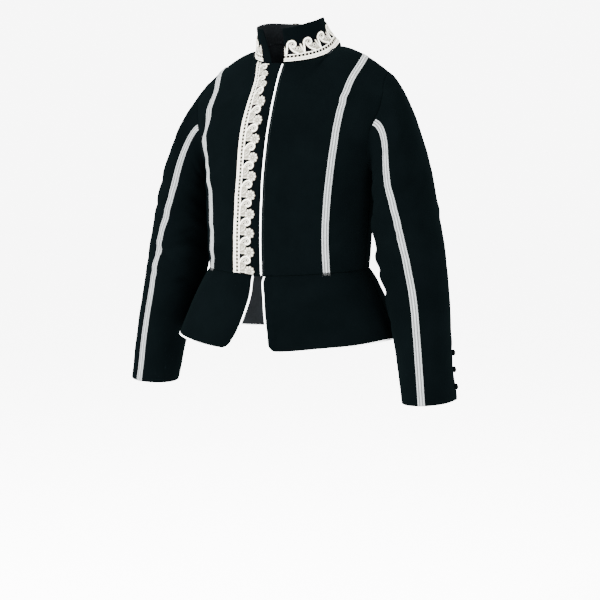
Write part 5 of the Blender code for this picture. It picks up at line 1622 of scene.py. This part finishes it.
def collar_lace_surface():
    def at(along, across):
        first = COLLAR_LEFT.base + COLLAR_LACE_START
        base = first + (360 - COLLAR_RIGHT.base - COLLAR_LACE_SHORT - first) * along
        reach = np.linalg.norm(collar(base, 1.0) - collar(base, 0.0), axis=-1)
        height = (0.0022 + across * DEPTH / 1000 * COLLAR_LACE_HEIGHT) / reach
        return collar_at(collar_turn(base, height), height)

    return at


FRONT_LACE_CUT = (-1.0, 431.0)                  # millimetres from the middle of its first repeat
COLLAR_LACE_CUT = (-REPEAT / 2, REPEAT * (COLLAR_LACE_REPEATS - 0.5))


def build_laces():
    front = (FRONT_DRAWING, FRONT_LACE_REPEATS, *FRONT_LACE_CUT), front_lace_surface(), sizes().trim_lift
    collar = (COLLAR_DRAWING, COLLAR_LACE_REPEATS, *COLLAR_LACE_CUT), collar_lace_surface(), COLLAR_LACE_LIFT
    for name, ((drawing, repeats, start, stop), surface, lift) in (("front", front), ("collar", collar)):
        piece = lace_strip(f"lace_on_{name}", drawing, repeats, start, stop)
        bend(piece, surface, start / 1000, stop / 1000, lift)
        finish_piece(piece, "ivory_lace", f"lace_{name}")


# ---- buttons -------------------------------------------------------------------------------------

# Radius and height of the covered button, millimetres. Its cloth is gathered into folds underneath.
BUTTON_SHAPE = [
    (0.4, -1.2), (4.4, -1.2), (5.0, -0.4), (5.4, 0.6), (5.6, 1.6), (5.6, 2.6), (5.2, 3.6), (4.5, 4.5),
    (3.5, 5.1), (2.3, 5.5), (1.1, 5.7), (0.25, 5.75),
]
BUTTON_TURNS, BUTTON_FOLDS, GATHERED_RINGS = 36, 9, 4


def build_covered_buttons():
    turns = np.arange(BUTTON_TURNS) * 2 * math.pi / BUTTON_TURNS
    count = len(BUTTON_SHAPE)
    uv = np.stack([np.tile(turns, count), np.repeat(np.arange(count), BUTTON_TURNS)], axis=-1) * 0.005
    for side in ("left", "right"):
        for number, row in enumerate(BUTTON_ROWS, 1):
            row = np.array(row)
            turn = table(SLEEVE_BACK_SEAM, row) + BUTTON_FROM_SEAM
            centre, normal = sleeve_at(turn, row, side)
            across = unit(sleeve_at(turn + 1, row, side)[0] - centre)
            across = unit(across - normal * np.dot(across, normal))
            outward = across * np.cos(turns)[:, None] + np.cross(normal, across) * np.sin(turns)[:, None]
            rings = []
            for k, (radius, height) in enumerate(BUTTON_SHAPE):
                gather = 1 + 0.05 * np.cos(BUTTON_FOLDS * turns + number) * (k < GATHERED_RINGS)
                rings.append(centre + normal * (height / 1000) + (radius * gather / 1000)[:, None] * outward)
            faces = ring_faces(count, BUTTON_TURNS)
            if side == "right":
                faces = [face[::-1] for face in faces]
            name = f"{side}_{number}"
            piece = made_object(f"covered_button_{name}", np.concatenate(rings), faces, [velvet()], uv)
            finish_piece(piece, "black_velvet", f"cuff_button_{name}")


# ---- stitches ------------------------------------------------------------------------------------

def stitch_shape(long, thick):
    """One stitch: a short thread that dips at both ends."""
    x = np.array([-0.5, -0.22, 0.22, 0.5]) * long
    z = np.array([-0.35, 0.35, 0.35, -0.35]) * thick
    return tube_mesh(np.stack([x, 0 * x, z], axis=-1), thick / 2 * np.array([0.55, 1, 1, 0.55]), 4)


def seam_lines(name, lines):
    """An object of loose edges, a run for each line of (points, normals), with the normals as 'out'."""
    mesh = bpy.data.meshes.new(name)
    points = np.concatenate([line[0] for line in lines])
    out = np.concatenate([line[1] for line in lines])
    edges, start = [], 0
    for line, _ in lines:
        edges += [(start + i, start + i + 1) for i in range(len(line) - 1)]
        start += len(line)
    mesh.from_pydata(points.tolist(), edges, [])
    attribute = mesh.attributes.new("out", "FLOAT_VECTOR", "POINT")
    attribute.data.foreach_set("vector", out.astype(np.float32).ravel())
    return placed(name, mesh)


STITCH_THICK = 0.0004


def sew(name, lines, finish, long, spacing, seed):
    stitch = made_object("stitch", *stitch_shape(long, STITCH_THICK), [finish])
    host = seam_lines(name + "_host", lines)
    values = {"Spacing": spacing, "Stitch": stitch, "Scale": 1.0, "Unevenness": 0.12, "Seed": seed}
    mesh = run_tree(host, stitch_tree(), values | {"Material": finish})
    if not mesh.polygons:
        raise RuntimeError(f"{name}: no stitches were made")
    mesh.name = name
    mesh.shade_smooth()
    made = placed(name, mesh)
    for old in (stitch, host):
        bpy.data.objects.remove(old)
    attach(made, "root")


def lifted(line, by):
    """The same line, that far above the cloth."""
    points, normals = line
    return points + normals * by, normals


ON_CLOTH = 0.00005       # a stitch lies that far above what it is sewn through
BRAID_STITCH_LIFT = 0.0009
LACE_STITCH_IN = 0.045   # share of the lace's depth from its sewn edge to the stitches


def build_stitches():
    long, spacing, lift = sizes().stitch_length, sizes().stitch_spacing, sizes().trim_lift
    lines = []
    for side in ("left", "right"):
        braids = ((front_braid_surface(side), np.linspace(0.03, TOP - 0.05, 160)),
                  (sleeve_braid_surface(side), np.linspace(0.08, RING_COUNT - 0.04, 200)))
        for surface, rows in braids:
            for edge in (-0.90, 0.90):
                lines.append(lifted(surface(edge + 0 * rows, rows), lift + BRAID_STITCH_LIFT))
    sew("stitches_on_braid", lines, braid_finish(), long, spacing, 3)
    along = np.linspace(0.004, 0.996, 300)
    lines = [lifted(surface(along, LACE_STITCH_IN + 0 * along), under + sizes().lace_thickness + ON_CLOTH)
             for surface, under in ((front_lace_surface(), lift), (collar_lace_surface(), COLLAR_LACE_LIFT))]
    sew("stitches_on_lace", lines, thread_finish(), long, spacing * 1.15, 5)
    rows = np.linspace(0.04, TOP - 0.06, 200)
    turn = np.linspace(92, 268, 260)
    lines = [lifted(body_at(share_at(lap_edge(rows) + 0.0045, rows), rows), ON_CLOTH),
             lifted(skirt_at(turn, 0.966 + 0 * turn), ON_CLOTH)]
    sew("stitches_by_piping", lines, dark_thread_finish(), long * 0.8, spacing, 9)


# ---- stage ---------------------------------------------------------------------------------------

FLOOR, FLOOR_HALF = -1.44, 30.0
LIGHT_AIM = (0, 0, -0.35)
CAMERA_AIM, CAMERA_DISTANCE = (0.0, 0.0, -0.4832), 2.13
CAMERA_ROUND, CAMERA_UP = 26.0, 5.7      # degrees to the wearer's left of the front, and above level


def aimed(name, data, at, aim):
    """A lamp or camera that looks at a point."""
    made = placed(name, data)
    made.location = at
    made.rotation_euler = (Vector(aim) - Vector(at)).to_track_quat("-Z", "Y").to_euler()
    return made


def area_light(name, at, size, power):
    data = bpy.data.lights.new(name, "AREA")
    data.shape, data.size, data.energy = "DISK", size, power
    aimed(name, data, at, LIGHT_AIM)


def build_world():
    """A white room. The camera sees it as bright as the floor's glow makes the floor."""
    world = bpy.data.worlds.new("studio")
    world.use_nodes = True
    nodes, links = world.node_tree.nodes, world.node_tree.links
    room, screen = nodes["Background"], nodes.new("ShaderNodeBackground")
    for shown, strength in ((room, sizes().room_light), (screen, sizes().room_light + sizes().floor_glow)):
        shown.inputs["Color"].default_value = (1.0, 1.0, 1.0, 1.0)
        shown.inputs["Strength"].default_value = strength
    rays, choice = nodes.new("ShaderNodeLightPath"), nodes.new("ShaderNodeMixShader")
    links.new(rays.outputs["Is Camera Ray"], choice.inputs["Fac"])
    links.new(room.outputs["Background"], choice.inputs[1])
    links.new(screen.outputs["Background"], choice.inputs[2])
    links.new(choice.outputs["Shader"], nodes["World Output"].inputs["Surface"])
    return world


def build_floor():
    f = Finish("pale_floor")
    tone = tuple(colours().floor)
    colour = f.ramp(f.noise(f.place("Object"), 3.0, 2.0), scaled(tone, 0.985), tone)
    finish = f.done(colour, None, 0.9, Specular_IOR_Level=0.0, Emission_Color=(1.0, 1.0, 1.0, 1.0),
                    Emission_Strength=sizes().floor_glow)
    corners = ((-1, -1), (1, -1), (1, 1), (-1, 1))
    points = np.array([[x * FLOOR_HALF, y * FLOOR_HALF, FLOOR] for x, y in corners])
    floor = made_object("studio_floor", points, [[0, 1, 2, 3]], [finish], points[:, :2])


def build_camera():
    data = bpy.data.cameras.new("camera")
    data.lens, data.sensor_width, data.shift_x = 65.4, 36.0, 0.0042
    round_it, up = math.radians(CAMERA_ROUND), math.radians(CAMERA_UP)
    way = Vector((math.sin(round_it) * math.cos(up), -math.cos(round_it) * math.cos(up), math.sin(up)))
    return aimed("camera", data, Vector(CAMERA_AIM) + CAMERA_DISTANCE * way, CAMERA_AIM)


def build_stage():
    bpy.context.scene.world = build_world()
    build_floor()
    power = sizes().lamp_power
    area_light("key_light", (-1.7, -2.3, 1.2), 0.9, power)
    area_light("fill_light", (2.4, -1.8, 0.3), 1.8, power * 0.45)
    area_light("top_light", (0.0, 0.6, 1.9), 1.8, power * 0.35)
    bpy.context.scene.camera = build_camera()


# ---- the cloth's pieces --------------------------------------------------------------------------

# Each panel: the nodes that it stands for, what it hangs from and the trims on it
PANELS = {   # panel: CAD nodes, what it hangs from, trims on it
    "velvet_front_left": (["front_left", "front_left_yoke"], ["velvet_back"], ["piping_on_front"]),
    "velvet_front_right": (["front_right", "front_right_yoke"], ["velvet_back"], ["lace_on_front"]),
    "velvet_side_left": (["side_front_left"], ["velvet_back"], ["braid_on_front_left"]),
    "velvet_side_right": (["side_front_right"], ["velvet_back"], ["braid_on_front_right"]),
    "velvet_back": (["back", "back_yoke"], ["velvet_front_left", "velvet_front_right"], []),
    "velvet_collar": (["collar"], ["velvet_back"], ["lace_on_collar"]),
    "velvet_skirt_left": (["skirt_front_left"], ["velvet_front_left"], ["piping_on_skirt_left"]),
    "velvet_skirt_right": (["skirt_front_right"], ["velvet_front_right"], ["piping_on_skirt_right"]),
    "velvet_skirt_back": (["skirt_back"], ["velvet_back"], ["piping_on_skirt_back"]),
}
for SIDE in ("left", "right"):
    PANELS[f"velvet_sleeve_upper_{SIDE}"] = (
        [f"sleeve_upper_{SIDE}", f"forearm_upper_{SIDE}"], ["velvet_back"], [f"braid_on_sleeve_{SIDE}"])
    PANELS[f"velvet_sleeve_under_{SIDE}"] = (
        [f"sleeve_under_{SIDE}", f"forearm_under_{SIDE}"], ["velvet_back"], [])
LEAST_CUT = 0.31         # share of its width times its length that a panel's area is at least


def declare_cloth():
    for name, (_, hangs_from, trims) in PANELS.items():
        width, length, area = CLOTH_CUT[name]
        area = min(max(area, LEAST_CUT * width * length), width * length)


def finish_panels(made):
    for piece in made:
        finish_piece(piece, "black_velvet", *PANELS[piece.name][0])


# ---- the add-on ----------------------------------------------------------------------------------

def size(name, description, default, low, high):
    return FloatProperty(name=name, description=description, default=default, min=low, max=high,
                         subtype="DISTANCE", unit="LENGTH")


def colour(name, description, default):
    return FloatVectorProperty(name=name, description=description, default=default, min=0.0, max=1.0,
                               subtype="COLOR")


class DoubletSizes(bpy.types.PropertyGroup):
    cloth_thickness: size("Cloth thickness", "Velvet, interlining and lining together", WALL, 0.001, 0.003)
    edge_roll: size("Edge roll", "How far in from its edge the cloth rolls over", 0.0026, 0.0008, 0.006)
    trim_lift: size("Trim lift", "Between a trim and the cloth under it", 0.0003, 0.0, 0.001)
    braid_rib: size("Braid rib height", "How far the ribs of the braid stand up", BRAID_RIB, 0.0, 0.002)
    lace_thickness: size("Lace thickness", "How thick it is between its cords", LACE_THICK, 0.0004, 0.002)
    stitch_length: size("Stitch length", "Length of one stitch", 0.0019, 0.0005, 0.006)
    stitch_spacing: size("Stitch spacing", "From one stitch to the next", 0.0032, 0.001, 0.01)
    crease_strength: FloatProperty(name="Crease strength", description="How deep the creases are, 1 as worn",
                                   default=1.0, min=0.0, max=2.0, subtype="FACTOR")
    room_light: FloatProperty(name="Room light", description="Strength of the light from all round",
                              default=3.4, min=0.0, max=20.0)
    floor_glow: FloatProperty(name="Floor glow", description="Light from the floor, so that it shows no edge",
                              default=4.6, min=0.0, max=20.0)
    lamp_power: FloatProperty(name="Lamp power", description="Power of the main lamp", default=700.0, min=0.0,
                              max=5000.0, subtype="POWER", unit="POWER")


class DoubletColours(bpy.types.PropertyGroup):
    velvet: colour("Velvet", "Colour of the pile", (0.0004, 0.0007, 0.0008))
    braid: colour("Braid", "Colour of the braid's thread", (0.300, 0.320, 0.324))
    piping: colour("Piping", "Colour of the piping", (0.72, 0.73, 0.73))
    lace: colour("Lace", "Colour of the lace", (0.70, 0.685, 0.62))
    floor: colour("Floor", "Colour of the studio floor", (0.98, 0.98, 0.98))


class DOUBLET_OT_bodice(bpy.types.Operator):
    """Makes the two fronts, the two side fronts and the back"""
    bl_idname = "doublet.bodice"
    bl_label = "Bodice"

    def execute(self, context):
        finish_panels(build_bodice_panels())
        return {"FINISHED"}


class DOUBLET_OT_collar(bpy.types.Operator):
    """Makes the standing collar"""
    bl_idname = "doublet.collar"
    bl_label = "Collar"

    def execute(self, context):
        finish_panels([build_collar_panel()])
        return {"FINISHED"}


class DOUBLET_OT_skirt(bpy.types.Operator):
    """Makes the three pieces of the skirt"""
    bl_idname = "doublet.skirt"
    bl_label = "Skirt"

    def execute(self, context):
        finish_panels(build_skirt_panels())
        return {"FINISHED"}


class DOUBLET_OT_sleeves(bpy.types.Operator):
    """Makes the upper and under pieces of both sleeves"""
    bl_idname = "doublet.sleeves"
    bl_label = "Sleeves"

    def execute(self, context):
        finish_panels(build_sleeve_panels())
        return {"FINISHED"}


class DOUBLET_OT_braid(bpy.types.Operator):
    """Makes the ribbed braid on the fronts and sleeves, and its cut ends"""
    bl_idname = "doublet.braid"
    bl_label = "Braid"

    def execute(self, context):
        build_braids()
        build_tufts()
        return {"FINISHED"}


class DOUBLET_OT_piping(bpy.types.Operator):
    """Makes the piping of the front edge and the skirt"""
    bl_idname = "doublet.piping"
    bl_label = "Piping"

    def execute(self, context):
        build_pipings()
        return {"FINISHED"}


class DOUBLET_OT_lace(bpy.types.Operator):
    """Makes the scalloped lace down the front and round the collar"""
    bl_idname = "doublet.lace"
    bl_label = "Lace"

    def execute(self, context):
        build_laces()
        return {"FINISHED"}


class DOUBLET_OT_buttons(bpy.types.Operator):
    """Makes the covered buttons at the cuffs"""
    bl_idname = "doublet.buttons"
    bl_label = "Cuff Buttons"

    def execute(self, context):
        build_covered_buttons()
        return {"FINISHED"}


class DOUBLET_OT_stitches(bpy.types.Operator):
    """Sews the stitches that show on the braid, the lace and beside the piping"""
    bl_idname = "doublet.stitches"
    bl_label = "Stitches"

    def execute(self, context):
        build_stitches()
        return {"FINISHED"}


class DOUBLET_OT_stage(bpy.types.Operator):
    """Sets the floor, the lights and the camera"""
    bl_idname = "doublet.stage"
    bl_label = "Studio"

    def execute(self, context):
        build_stage()
        return {"FINISHED"}


class DOUBLET_PT_panel(bpy.types.Panel):
    """Lists the sizes, the colours and the pieces"""
    bl_idname = "DOUBLET_PT_panel"
    bl_label = "Doublet"
    bl_space_type = "VIEW_3D"
    bl_region_type = "UI"
    bl_category = "Doublet"

    def draw(self, context):
        for group in (context.scene.doublet_sizes, context.scene.doublet_colours):
            box = self.layout.box()
            for name in group.bl_rna.properties.keys():
                if name not in ("rna_type", "name"):
                    box.prop(group, name)
        for operator in OPERATORS:
            self.layout.operator(operator.bl_idname)


OPERATORS = (
    DOUBLET_OT_bodice, DOUBLET_OT_collar, DOUBLET_OT_skirt, DOUBLET_OT_sleeves, DOUBLET_OT_braid,
    DOUBLET_OT_piping, DOUBLET_OT_lace, DOUBLET_OT_buttons, DOUBLET_OT_stitches, DOUBLET_OT_stage,
)
CLASSES = (DoubletSizes, DoubletColours, *OPERATORS, DOUBLET_PT_panel)


def register():
    for one in CLASSES:
        bpy.utils.register_class(one)
    bpy.types.Scene.doublet_sizes = PointerProperty(type=DoubletSizes)
    bpy.types.Scene.doublet_colours = PointerProperty(type=DoubletColours)


def unregister():
    del bpy.types.Scene.doublet_colours
    del bpy.types.Scene.doublet_sizes
    for one in reversed(CLASSES):
        bpy.utils.unregister_class(one)


def main():
    register()
    bpy.ops.doublet.bodice()
    bpy.ops.doublet.collar()
    bpy.ops.doublet.skirt()
    bpy.ops.doublet.sleeves()
    bpy.ops.doublet.braid()
    bpy.ops.doublet.piping()
    bpy.ops.doublet.lace()
    bpy.ops.doublet.buttons()
    bpy.ops.doublet.stitches()
    bpy.ops.doublet.stage()
    declare_cloth()


if __name__ == "__main__":
    main()
